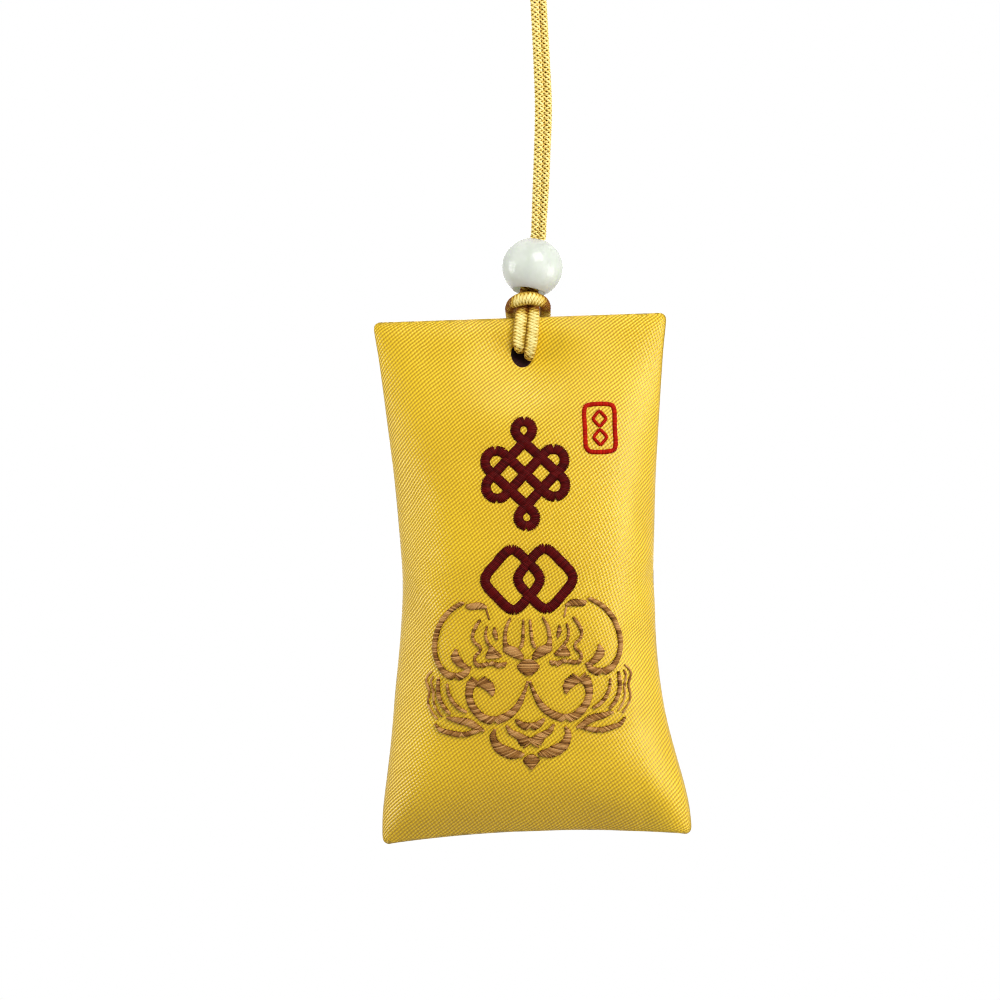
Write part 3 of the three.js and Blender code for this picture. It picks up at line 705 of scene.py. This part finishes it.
shape = np.array([point.co for point in pouch.data.vertices]) / LARGE
columns = np.rint((flat_places[:, 0] / POUCH_WIDTH + 0.5) * COLUMNS).astype(int)
rows = np.rint((0.5 - flat_places[:, 1] / POUCH_HEIGHT) * ROWS).astype(int)
top = np.array([shape[(rows == 0) & (columns == c), 2].mean() for c in range(COLUMNS + 1)])
bottom = np.array([shape[(rows == ROWS) & (columns == c), 2].mean() for c in range(COLUMNS + 1)])
along_edge = np.linspace(-1, 1, COLUMNS + 1)
wanted_bottom = TOP_EDGE - SEWN_HEIGHT + BOTTOM_ARCH * (1 - along_edge ** 2)
share = (shape[:, 2] - bottom[columns]) / (top - bottom)[columns]
shape[:, 2] = wanted_bottom[columns] + share * (TOP_EDGE - wanted_bottom)[columns]
for row in range(ROWS + 1):
    here = rows == row
    ends = [here & (columns == c) for c in (0, COLUMNS)]
    left, right = (shape[end, 0].mean() for end in ends)
    wide = half_width(TOP_EDGE - np.mean([shape[end, 2].mean() for end in ends]))
    shape[here, 0] = (shape[here, 0] - (left + right) / 2) * 2 * wide / (right - left)
print("outline in mm:", [round(float(np.ptp(shape[:, i])), 2) for i in (0, 2)])

# %% [markdown]
# The wadding holds the panels out, so most of the depth comes from its crown. Its section goes
# squarer towards the bottom. Small forms are added to that: the lower right corner is fuller, the
# cord draws a dimple in round the hole, the cloth puckers at the right of the waist, and the part
# below the waist sits a little to the left. The pouch comes back to its true size here.

# %% Crown the panels
SWELL_SHARE, SEAM_DEPTH = 0.3, 0.15
SQUARE_FROM, SQUARE_OVER = -21, -9
FULL_CORNER, FULL_BELOW = 2.2, -20
PUCKER_X, PUCKER_Z, PUCKER_SLANT, PUCKER_DEPTH = 16.4, -1.9, 0.4, 0.6
LEAN, LEAN_Z, LEAN_REACH = 0.62, -16, 11

x, z = shape[:, 0], shape[:, 2]
drop = TOP_EDGE - z
edge_share = np.minimum(1, np.abs(x) / half_width(drop))
squareness = 2.6 + 2.0 * np.clip((z - SQUARE_FROM) / SQUARE_OVER, 0, 1)
full_corner = FULL_CORNER * np.clip((edge_share - 0.7) / 0.2, 0, 1) * (x > 0) * (z < FULL_BELOW)
padded_depth = SEAM_DEPTH + half_depth(drop - full_corner) * (1 - edge_share ** squareness) ** 0.55
from_hole = np.hypot(x, z - HOLE_RISE)
dimple = 0.75 * np.exp(-((from_hole - 8) / 4) ** 2) - 0.65 * np.exp(-((from_hole / 4.5) ** 2))
padded_depth += dimple * (1 - edge_share ** 4) * np.clip(drop / 3, 0, 1)
pucker_side = (x - PUCKER_X) / 2.0
pucker_up = (z - PUCKER_Z + PUCKER_SLANT * (x - PUCKER_X)) / 1.8
pucker = PUCKER_DEPTH * np.exp(-pucker_side ** 2 - pucker_up ** 2)
padded_depth -= np.minimum(pucker, 0.6 * padded_depth)
swell_depth = np.abs(shape[:, 1]) * CROWN / np.abs(shape[:, 1]).max()
shape[:, 1] = np.array(faces_out) * (SWELL_SHARE * swell_depth + (1 - SWELL_SHARE) * padded_depth)
shape[:, 0] -= LEAN * np.exp(-((z - LEAN_Z) / LEAN_REACH) ** 2)
print("pouch in mm:", [round(float(np.ptp(shape[:, i])), 2) for i in range(3)])
for point, place in zip(pouch.data.vertices, shape):
    point.co = (Vector(place) + POUCH_MIDDLE) * MM
finer = pouch.modifiers.new("finer", "SUBSURF")
finer.levels = finer.render_levels = 1
bpy.ops.object.modifier_apply(modifier="finer")
pouch.data.shade_smooth()
pouch.data.materials.append(satin)
print("pouch faces:", len(pouch.data.polygons))

# %% [markdown]
# The hole is punched through both panels. The cord pulls the back of it upwards, so the punch
# goes in at a slant, and from the front one looks onto its lower wall, which is painted near black as shade.

# %% Punch the hole
PUNCH_SLANT = math.radians(47)
HOLE_RADIUS, PUNCH_LENGTH = 1.5, 18
HOLE_SHIFT, HOLE_LIFT = 0.15, 0.5


def off_the_front(place):
    """How far a place on the cloth is from the hole and from the front."""
    return (place.xz - HOLE.xz * MM).length + 2 * place.y


front_depth = min((point.co for point in pouch.data.vertices), key=off_the_front).y / MM
print("front of the cloth at the hole:", round(front_depth, 2), "mm")
bpy.ops.object.select_all(action="DESELECT")
bpy.ops.mesh.primitive_cylinder_add(
    vertices=40, radius=HOLE_RADIUS * MM, depth=PUNCH_LENGTH * MM,
    location=(HOLE + Vector((HOLE_SHIFT, 0, HOLE_LIFT - front_depth * math.tan(PUNCH_SLANT)))) * MM,
    rotation=(math.pi / 2 + PUNCH_SLANT, 0, 0),
)
punch = bpy.context.object
punch.scale = (1, math.cos(PUNCH_SLANT), 1)
# The hole's wall takes the near-black painted shade.
punch.data.materials.append(painted_shade_hole_wall)
pouch.data.materials.append(painted_shade_hole_wall)
pick(pouch)
hole = pouch.modifiers.new("hole", "BOOLEAN")
hole.object, hole.operation, hole.solver = punch, "DIFFERENCE", "EXACT"
hole.material_mode = "TRANSFER"
bpy.ops.object.modifier_apply(modifier="hole")
bpy.data.objects.remove(punch)
print("pouch faces with the hole:", len(pouch.data.polygons))

# %% [markdown]
# ## Inside the pouch
# Two pads of white wadding hold the cloth out, and a thin backing sheet lies behind the stitches.
# They can't be seen, but they give the pouch its form, so they are kept. The pads start from the
# CAD pads and are kept a little inside the swollen cloth, and the backing is a grid laid against
# the inside of the front.

# %% Stuff the pouch
PAD_SHARE, PAD_CLEARANCE, PAD_THINNEST, PAD_ROUGH = 0.93, 1.1, 0.15, 0.08
pouch_tree = BVHTree.FromObject(pouch, bpy.context.evaluated_depsgraph_get())


def on_cloth(x, z, side=-1):
    """The place on the front, or on the back, and the way it faces, for a place given from the middle."""
    eye = Vector((POUCH_MIDDLE.x + x, 30 * side, POUCH_MIDDLE.z + z)) * MM
    place, facing, _, _ = pouch_tree.ray_cast(eye, Vector((0, -side, 0)))
    return (place / MM, facing) if place else (None, None)


def stuff(node, name, side):
    """A pad of wadding from a CAD pad, kept inside the cloth and roughened a little."""
    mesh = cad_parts[node].data.copy()
    mesh.transform(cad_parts[node].matrix_world)
    pad = bpy.data.objects.new(name, mesh)
    bpy.context.collection.objects.link(pad)
    pick(pad)
    bpy.ops.object.mode_set(mode="EDIT")
    bpy.ops.mesh.select_all(action="SELECT")
    bpy.ops.mesh.remove_doubles(threshold=0.00001)
    bpy.ops.mesh.subdivide(number_cuts=1, smoothness=0.3)
    bpy.ops.object.mode_set(mode="OBJECT")
    chance = random.Random(side)
    for point in mesh.vertices:
        spot = (point.co / MM - POUCH_MIDDLE) * PAD_SHARE
        cloth, _ = on_cloth(spot.x, spot.z, side)
        depth = min(spot.y * side, cloth.y * side - PAD_CLEARANCE) if cloth else 2 * PAD_THINNEST
        spot.y = side * (max(depth, PAD_THINNEST) + chance.uniform(-PAD_ROUGH, PAD_ROUGH))
        point.co = (spot + POUCH_MIDDLE) * MM
    mesh.materials.clear()
    mesh.materials.append(wadding)
    mesh.shade_smooth()
    return pad


front_pad = stuff("front_wadding", "front_wadding_pad", -1)
back_pad = stuff("back_wadding", "back_wadding_pad", 1)
print("pads:", len(front_pad.data.polygons), len(back_pad.data.polygons), "faces")

# %% Lay the backing
BACKING_WIDTH, BACKING_HEIGHT, BACKING_THICK = 26, 46, 0.2
BACKING_RISE, BACKING_BEHIND = -3, 0.55
bpy.ops.object.select_all(action="DESELECT")
bpy.ops.mesh.primitive_grid_add(
    x_subdivisions=BACKING_WIDTH, y_subdivisions=BACKING_HEIGHT, size=1, rotation=(math.pi / 2, 0, 0),
)
backing = bpy.context.object
backing.name = "embroidery_backing_sheet"
bpy.ops.object.transform_apply(location=True, rotation=True, scale=True)
for point in backing.data.vertices:
    place, facing = on_cloth(point.co.x * BACKING_WIDTH, point.co.z * BACKING_HEIGHT + BACKING_RISE)
    point.co = (place - facing * BACKING_BEHIND) * MM
backing.data.materials.append(wadding)
backing.data.shade_smooth()
thick = backing.modifiers.new("thick", "SOLIDIFY")
thick.thickness, thick.offset = BACKING_THICK * MM, 0
bpy.ops.object.modifier_apply(modifier="thick")
print("backing faces:", len(backing.data.polygons))

# %% [markdown]
# ## Embroidery
# Most of it is satin stitch: thread after thread laid side by side across a stroke. One stitch is
# modelled as a short arched thread, and copies of it are laid along each stroke, stretched to the
# stroke's width and pressed onto the swollen cloth by looking straight back at it.

# %% One stitch
def model_stitch():
    """Points and faces of a thread from -1 to 1, thinner at its ends."""
    bpy.ops.object.select_all(action="DESELECT")
    bpy.ops.mesh.primitive_cylinder_add(vertices=6, radius=1, depth=2, rotation=(0, math.pi / 2, 0))
    thread = bpy.context.object
    bpy.ops.object.transform_apply(location=True, rotation=True, scale=True)
    bpy.ops.object.mode_set(mode="EDIT")
    for place in (-0.8, -0.45, 0.0, 0.45, 0.8):
        bpy.ops.mesh.select_all(action="SELECT")
        bpy.ops.mesh.bisect(plane_co=(place, 0, 0), plane_no=(1, 0, 0))
    bpy.ops.object.mode_set(mode="OBJECT")
    points = np.array([point.co for point in thread.data.vertices])
    faces = [list(face.vertices) for face in thread.data.polygons]
    bpy.data.objects.remove(thread)
    end = np.abs(points[:, 0])
    points[:, 1] *= np.where(end > 0.95, 0.55, np.where(end > 0.7, 0.85, 1.0))
    return points, faces


STITCH_POINTS, STITCH_FACES = model_stitch()
print("stitch:", len(STITCH_POINTS), "points,", len(STITCH_FACES), "faces")

# %% [markdown]
# The same stitch, laid end to end in the seam, closes the panels. The pouch was turned after
# sewing, so these rows lie between the layers.

# %% Sew the seams
SEAM_STITCH, SEAM_THREAD, SEAM_INSET = 2.0, 0.13, 1.3
SIDE_SEAM_DROPS = np.linspace(12, 63.5, 9)
TOP_SEAM_RISE, BOTTOM_SEAM_RISE = 32.8, -32.4


def seam_row(points):
    """Straight stitches end to end along a line in the seam."""
    line = smooth_line([np.array(p, float) for p in points], SEAM_STITCH)
    row_points, row_faces = [], []
    for a, b in zip(line, line[1:]):
        middle, ahead = (a + b) / 2, (b - a) / 2 * 0.96
        aside = np.cross(ahead, (0, 1, 0)) / np.linalg.norm(ahead) * SEAM_THREAD
        up = np.array((0, SEAM_THREAD, 0))
        stitch = [middle + ahead * x + aside * y + up * z for x, y, z in STITCH_POINTS]
        gather(row_points, row_faces, stitch, STITCH_FACES)
    return row_points, row_faces


seam_lines = [
    [(side * (half_width(drop) - SEAM_INSET), 0, TOP_EDGE - drop) for drop in SIDE_SEAM_DROPS]
    for side in (-1, 1)
]
for rise in (TOP_SEAM_RISE, BOTTOM_SEAM_RISE):
    seam_lines.append([(x, 0, rise) for x in (-16, 0, 16)])
seam_points, seam_faces = [], []
for line in seam_lines:
    gather(seam_points, seam_faces, *seam_row([np.array(p) + np.array(POUCH_MIDDLE) for p in line]))
seam_tone = [0.5] * len(seam_points)
seam_stitches = outward(mesh_piece("seam_stitches", seam_points, seam_faces, sewing_thread, seam_tone))
print("seam stitches:", len(seam_faces) // len(STITCH_FACES))

# %% Lay stitches on the cloth
class Embroidery:
    """Gathers the stitches of one piece of embroidery."""

    def __init__(self, seed):
        self.points, self.faces, self.tone = [], [], []
        self.chance = random.Random(seed)

    def stitch(self, a, b, thread=0.14, lift=0.26):
        """One stitch from a to b, each an x and z from the pouch's middle."""
        a, b = np.array(a), np.array(b)
        ahead = (b - a) / 2
        half = np.linalg.norm(ahead)
        aside = np.array((-ahead[1], ahead[0])) / half * thread
        laid = []
        shade = 0.55 + self.chance.uniform(-0.42, 0.42)
        high = lift * self.chance.uniform(0.88, 1.12)
        for along, side, up in STITCH_POINTS:
            x, z = (a + b) / 2 + ahead * along + aside * side
            place, facing = on_cloth(x, z)
            rise = high * max(0.0, 1 - along * along) ** 0.6 + up * thread * 0.75 - 0.02
            laid.append(place + facing * rise)
            # Painted light and shade: each stitch is lighter on its top and darker towards its ends, where it
            # dips into the cloth; the rest of its tone differs at random.
            self.tone.append(shade + 0.15 * up - 0.45 * along ** 4)
        gather(self.points, self.faces, laid, STITCH_FACES)

    def stroke(self, rows, spacing=0.2, level=0.0, closed=False, lift=0.26):
        """Satin stitches across a line of x, z, width. level 1 turns them towards level."""
        rows = [np.array(row, float) for row in rows]
        line = smooth_line(rows + rows[:1] if closed else rows, spacing)
        ahead = np.gradient(line[:, :2], axis=0)
        for (x, z, width), (dx, dz) in zip(line, ahead):
            angle = math.atan2(dz, dx)
            square = angle + math.pi / 2
            turn = (square + math.pi / 2) % math.pi - math.pi / 2
            turn = square - max(-0.75, min(0.75, turn * level)) + self.chance.uniform(-0.03, 0.03)
            reach = width / 2 / max(0.55, abs(math.sin(turn - angle))) * self.chance.uniform(0.96, 1.04)
            step = np.array((math.cos(turn), math.sin(turn))) * reach
            self.stitch((x - step[0], z - step[1]), (x + step[0], z + step[1]), lift=lift)

    def stem(self, line):
        """Stem stitches end over end along a thin line of x, z."""
        marks = smooth_line([np.array(mark, float) for mark in line], 0.55)
        for a, b in zip(marks, marks[2:]):
            self.stitch(a, b, thread=0.13, lift=0.14)

    def make(self, name, finish):
        """The gathered stitches as one piece."""
        return outward(mesh_piece(name, self.points, self.faces, finish, self.tone))


print("embroidery ready, cloth front at the middle:", round(on_cloth(0, 0)[0].y, 2), "mm")

# %% [markdown]
# ### Emblems and seal
# The upper emblem is an endless knot and the lower one two linked lozenges, both in dark maroon.
# A small red seal stands at the upper right. They are worked as even satin-stitched bars.

# %% Work the emblems and the seal
EMBLEM_BAR, UPPER_RISE = 1.35, 13.9
SEAL_X, SEAL_Z, SEAL_W, SEAL_H, SEAL_CUT = 10.2, 19.7, 2.0, 3.15, 0.7


def even(points, width):
    """A stroke of one width."""
    return [(x, z, width) for x, z in points]


def arc(x, z, radius, start, end, count=9):
    """Places on an arc. Angles are in degrees."""
    angles = np.radians(np.linspace(start, end, count))
    return [(x + radius * math.cos(a), z + radius * math.sin(a)) for a in angles]


def knot_lines():
    """An endless knot: three strands each way, joined at their ends by round loops."""
    pitch, reach, loop_radius = 3.0, 3.9, 1.15
    first = [
        (-pitch, -reach), (-pitch, 0), *arc(-pitch / 2, reach, pitch / 2, 180, 0), (0, 0),
        *arc(pitch / 2, -reach, pitch / 2, 180, 360), (pitch, 0), (pitch, reach),
    ]
    loop_middle = pitch + loop_radius
    loop = [(pitch, reach), *arc(loop_middle, loop_middle, loop_radius, 180, -90, 13), (reach, pitch)]
    lines = [first, [(q, p) for p, q in first], loop, [(-p, -q) for p, q in loop]]
    half = math.sqrt(0.5)
    return [[((p - q) * half, (p + q) * half + UPPER_RISE) for p, q in line] for line in lines]


def lozenge(x, z, half_wide, half_high):
    """The corners of a lozenge round its middle."""
    return [(x - half_wide, z), (x, z + half_high), (x + half_wide, z), (x, z - half_high)]


def rounded(corners, cut):
    """A closed line through the corners, each one rounded off a little."""
    line = []
    for before, corner, after in zip(corners[-1:] + corners, corners, corners[1:] + corners[:1]):
        before, corner, after = np.array(before), np.array(corner), np.array(after)
        start = corner + (before - corner) * cut / np.linalg.norm(before - corner)
        end = corner + (after - corner) * cut / np.linalg.norm(after - corner)
        line += [start, start / 4 + corner / 2 + end / 4, end, (corner + after) / 2]
    return line


upper = Embroidery(1)
for line in knot_lines():
    upper.stroke(even(line, EMBLEM_BAR), level=0.2)
upper_emblem = upper.make("upper_emblem_stitches", maroon_thread)

lower = Embroidery(2)
for middle in (-2.2, 2.2):
    line = rounded(lozenge(middle, -0.2, 4.2, 4.6), 1.5)
    lower.stroke(even(line, EMBLEM_BAR), level=0.1, closed=True)
lower_emblem = lower.make("lower_emblem_stitches", maroon_thread)

seal = Embroidery(3)
flat_w, flat_h = SEAL_W - SEAL_CUT, SEAL_H - SEAL_CUT
frame_line = [
    (-SEAL_W, -flat_h), (-SEAL_W, 0), (-SEAL_W, flat_h), (-flat_w, SEAL_H), (flat_w, SEAL_H),
    (SEAL_W, flat_h), (SEAL_W, 0), (SEAL_W, -flat_h), (flat_w, -SEAL_H), (-flat_w, -SEAL_H),
]
seal.stroke(even([(x + SEAL_X, z + SEAL_Z) for x, z in frame_line], 0.62), closed=True, lift=0.2)
for rise in (1.25, -1.25):
    line = rounded(lozenge(SEAL_X, SEAL_Z + rise, 0.95, 1.1), 0.3)
    seal.stroke(even(line, 0.48), closed=True, lift=0.18)
seal_work = seal.make("seal_stitches", red_thread)
print("stitches:", [len(e.faces) // len(STITCH_FACES) for e in (upper, lower, seal)])

# %% [markdown]
# ### Lotus
# A traditional lotus ornament in gold-brown thread: strokes that swell and thin like brush
# strokes. The right half is written down with a width at each point, and the left half mirrors it.
# The thinnest lines are stem stitch.

# %% Work the lotus
LOTUS_X = -0.48
LOTUS_PAIRS = [
    [(8.54, -3.04, 0.5), (10.19, -4.11, 0.65), (11.59, -5.84, 0.7), (12.31, -8.0, 0.7), (12.36, -9.8, 0.67),
     (11.86, -11.36, 0.72), (10.92, -12.45, 0.9), (9.67, -12.86, 1.08), (8.56, -12.48, 0.94),
     (7.82, -11.67, 0.4)],
    [(9.57, -9.3, 0.3), (9.69, -10.2, 1.17), (9.1, -11.15, 1.03), (8.36, -11.73, 0.55)],
    [(5.39, -3.77, 0.3), (6.28, -3.59, 0.94), (7.29, -3.52, 0.99), (7.9, -3.4, 0.3)],
    [(6.28, -5.5, 0.35), (6.86, -6.35, 0.5), (7.29, -7.49, 0.45), (7.01, -8.38, 0.4), (6.39, -8.97, 0.4),
     (6.37, -9.55, 0.4), (7.02, -10.25, 0.42), (7.08, -10.97, 0.48), (6.46, -11.51, 0.58),
     (5.23, -11.27, 0.58), (4.37, -11.37, 0.58), (3.65, -11.57, 0.85), (3.03, -11.24, 0.3)],
    [(4.33, -6.56, 0.3), (4.28, -7.32, 0.67), (4.08, -7.99, 0.3)],
    [(5.35, -6.37, 0.3), (5.54, -7.32, 0.4), (5.33, -8.39, 0.4), (4.58, -9.36, 0.4), (3.74, -10.23, 0.4)],
    [(4.9, -9.05, 0.3), (4.83, -9.66, 1.1), (4.73, -10.22, 1.9), (4.67, -10.48, 2.0)],
    [(2.19, -5.36, 0.3), (2.76, -6.55, 0.5), (2.98, -7.91, 0.55), (2.86, -8.92, 0.8), (2.18, -9.63, 1.6),
     (1.35, -10.37, 1.1), (0.8, -10.76, 0.3)],
    [(0.45, -5.68, 0.3), (0.52, -7.04, 0.42), (0.63, -8.39, 0.47), (0.92, -9.23, 0.5)],
    [(0.15, -13.88, 0.35), (0.6, -15.13, 0.5), (1.44, -16.85, 0.85), (2.75, -18.13, 1.03),
     (4.52, -18.86, 1.12), (6.11, -18.53, 1.08), (7.38, -17.32, 1.03), (8.0, -15.83, 0.99),
     (7.82, -14.37, 1.21), (6.95, -13.62, 1.5), (5.9, -13.99, 1.55), (5.15, -14.77, 1.2),
     (4.93, -15.48, 0.4)],
    [(11.01, -18.34, 0.35), (9.7, -18.7, 0.8), (8.34, -19.06, 1.05), (7.3, -19.7, 0.8), (6.32, -20.2, 0.3)],
    [(12.65, -19.2, 0.3), (11.94, -19.99, 0.58), (10.54, -20.44, 0.72), (9.18, -20.7, 0.76),
     (7.84, -20.43, 0.58), (6.5, -20.12, 0.3)],
    [(12.02, -13.05, 0.35), (12.12, -14.06, 0.54), (12.08, -15.41, 0.58), (11.56, -16.74, 0.54),
     (10.76, -17.79, 0.4)],
    [(10.89, -13.91, 0.3), (10.74, -15.14, 0.45), (10.14, -16.35, 0.5), (9.3, -17.23, 0.5),
     (8.56, -17.63, 0.3)],
    [(4.75, -20.15, 0.4), (5.03, -21.01, 0.9), (4.59, -22.12, 1.17), (3.48, -23.03, 1.6), (2.38, -23.58, 1.4),
     (1.21, -23.71, 0.55)],
]
LOTUS_STEMS = [
    [(12.84, -12.06), (13.58, -12.76), (13.8, -13.56), (13.26, -14.37), (13.3, -15.23), (13.63, -16.14),
     (13.16, -17.42), (12.31, -18.56)],
    [(12.73, -12.73), (13.12, -13.29), (13.0, -14.0), (12.66, -14.8), (12.85, -15.89), (12.49, -17.18),
     (11.73, -18.27)],
    [(5.39, -3.86), (5.19, -4.61), (4.98, -5.46)],
]
LOTUS_MIDDLE = [
    [(0, -10.96, 1.2), (0, -11.47, 2.6), (0, -11.9, 3.0), (0, -12.3, 2.6), (0, -12.89, 1.1)],
    [(-1.8, -18.93, 0.36), (-1.1, -19.52, 0.88), (0, -19.87, 1.12), (1.1, -19.52, 0.88), (1.8, -18.93, 0.36)],
    [(-3.1, -19.75, 0.36), (-2.55, -20.52, 0.76), (-1.45, -21.15, 1.0), (0, -22.0, 1.85), (1.45, -21.15, 1.0),
     (2.55, -20.52, 0.76), (3.1, -19.75, 0.36)],
    [(0, -23.72, 0.7), (0, -24.35, 2.3), (0, -24.93, 1.55), (0, -25.5, 0.35)],
]
lotus = Embroidery(5)


def work_lotus(strokes, side=1):
    """Works some strokes of the lotus, mirrored for side -1."""
    for rows in strokes:
        line = [(side * x + LOTUS_X, z, width) for x, z, width in rows]
        lotus.stroke(line, spacing=0.24, level=0.8, lift=0.3)


work_lotus(LOTUS_MIDDLE)
for side in (-1, 1):
    work_lotus(LOTUS_PAIRS, side)
    for line in LOTUS_STEMS:
        lotus.stem([(side * x + LOTUS_X, z) for x, z in line])
lotus_work = lotus.make("lotus_stitches", bronze_thread)
print("lotus stitches:", len(lotus.faces) // len(STITCH_FACES))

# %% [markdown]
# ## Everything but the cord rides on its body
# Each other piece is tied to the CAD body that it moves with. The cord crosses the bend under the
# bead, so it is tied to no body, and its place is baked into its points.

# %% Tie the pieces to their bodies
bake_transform(cord)
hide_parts("left_strand", "right_strand", "hitch")
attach(end_knot, "hanger")
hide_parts("end_knot", "left_tail", "right_tail")
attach(bead, "bead")
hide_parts("bead")
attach(pouch, "pouch")
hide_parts("front_panel", "back_panel")
for pad, node in ((front_pad, "front_wadding"), (back_pad, "back_wadding")):
    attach(pad, "pouch")
    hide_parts(node)
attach(backing, "pouch")
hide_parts("embroidery_backing")
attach(seam_stitches, "pouch")
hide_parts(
    "left_seam_thread", "right_seam_thread", "top_closing_thread", "bottom_seam_thread",
)
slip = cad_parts["amulet_slip"]
slip.data.materials.clear()
slip.data.materials.append(paper)
lotus_nodes = [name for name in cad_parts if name.startswith("lotus_")]
for label in ("left_", "right_"):
    lotus_nodes += [
        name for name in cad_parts
        if name.startswith(label) and not name.endswith(("strand", "tail", "seam_thread"))
    ]
for piece, nodes, finish in (
    (upper_emblem, ["upper_emblem"], "maroon_thread"),
    (lower_emblem, ["lower_emblem"], "maroon_thread"),
    (seal_work, ["seal_frame", "seal_lozenge_upper", "seal_lozenge_lower"], "red_thread"),
    (lotus_work, lotus_nodes, "bronze_thread"),
):
    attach(piece, "pouch")
    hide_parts(*nodes)
print("lotus stands for", len(lotus_nodes), "CAD nodes")
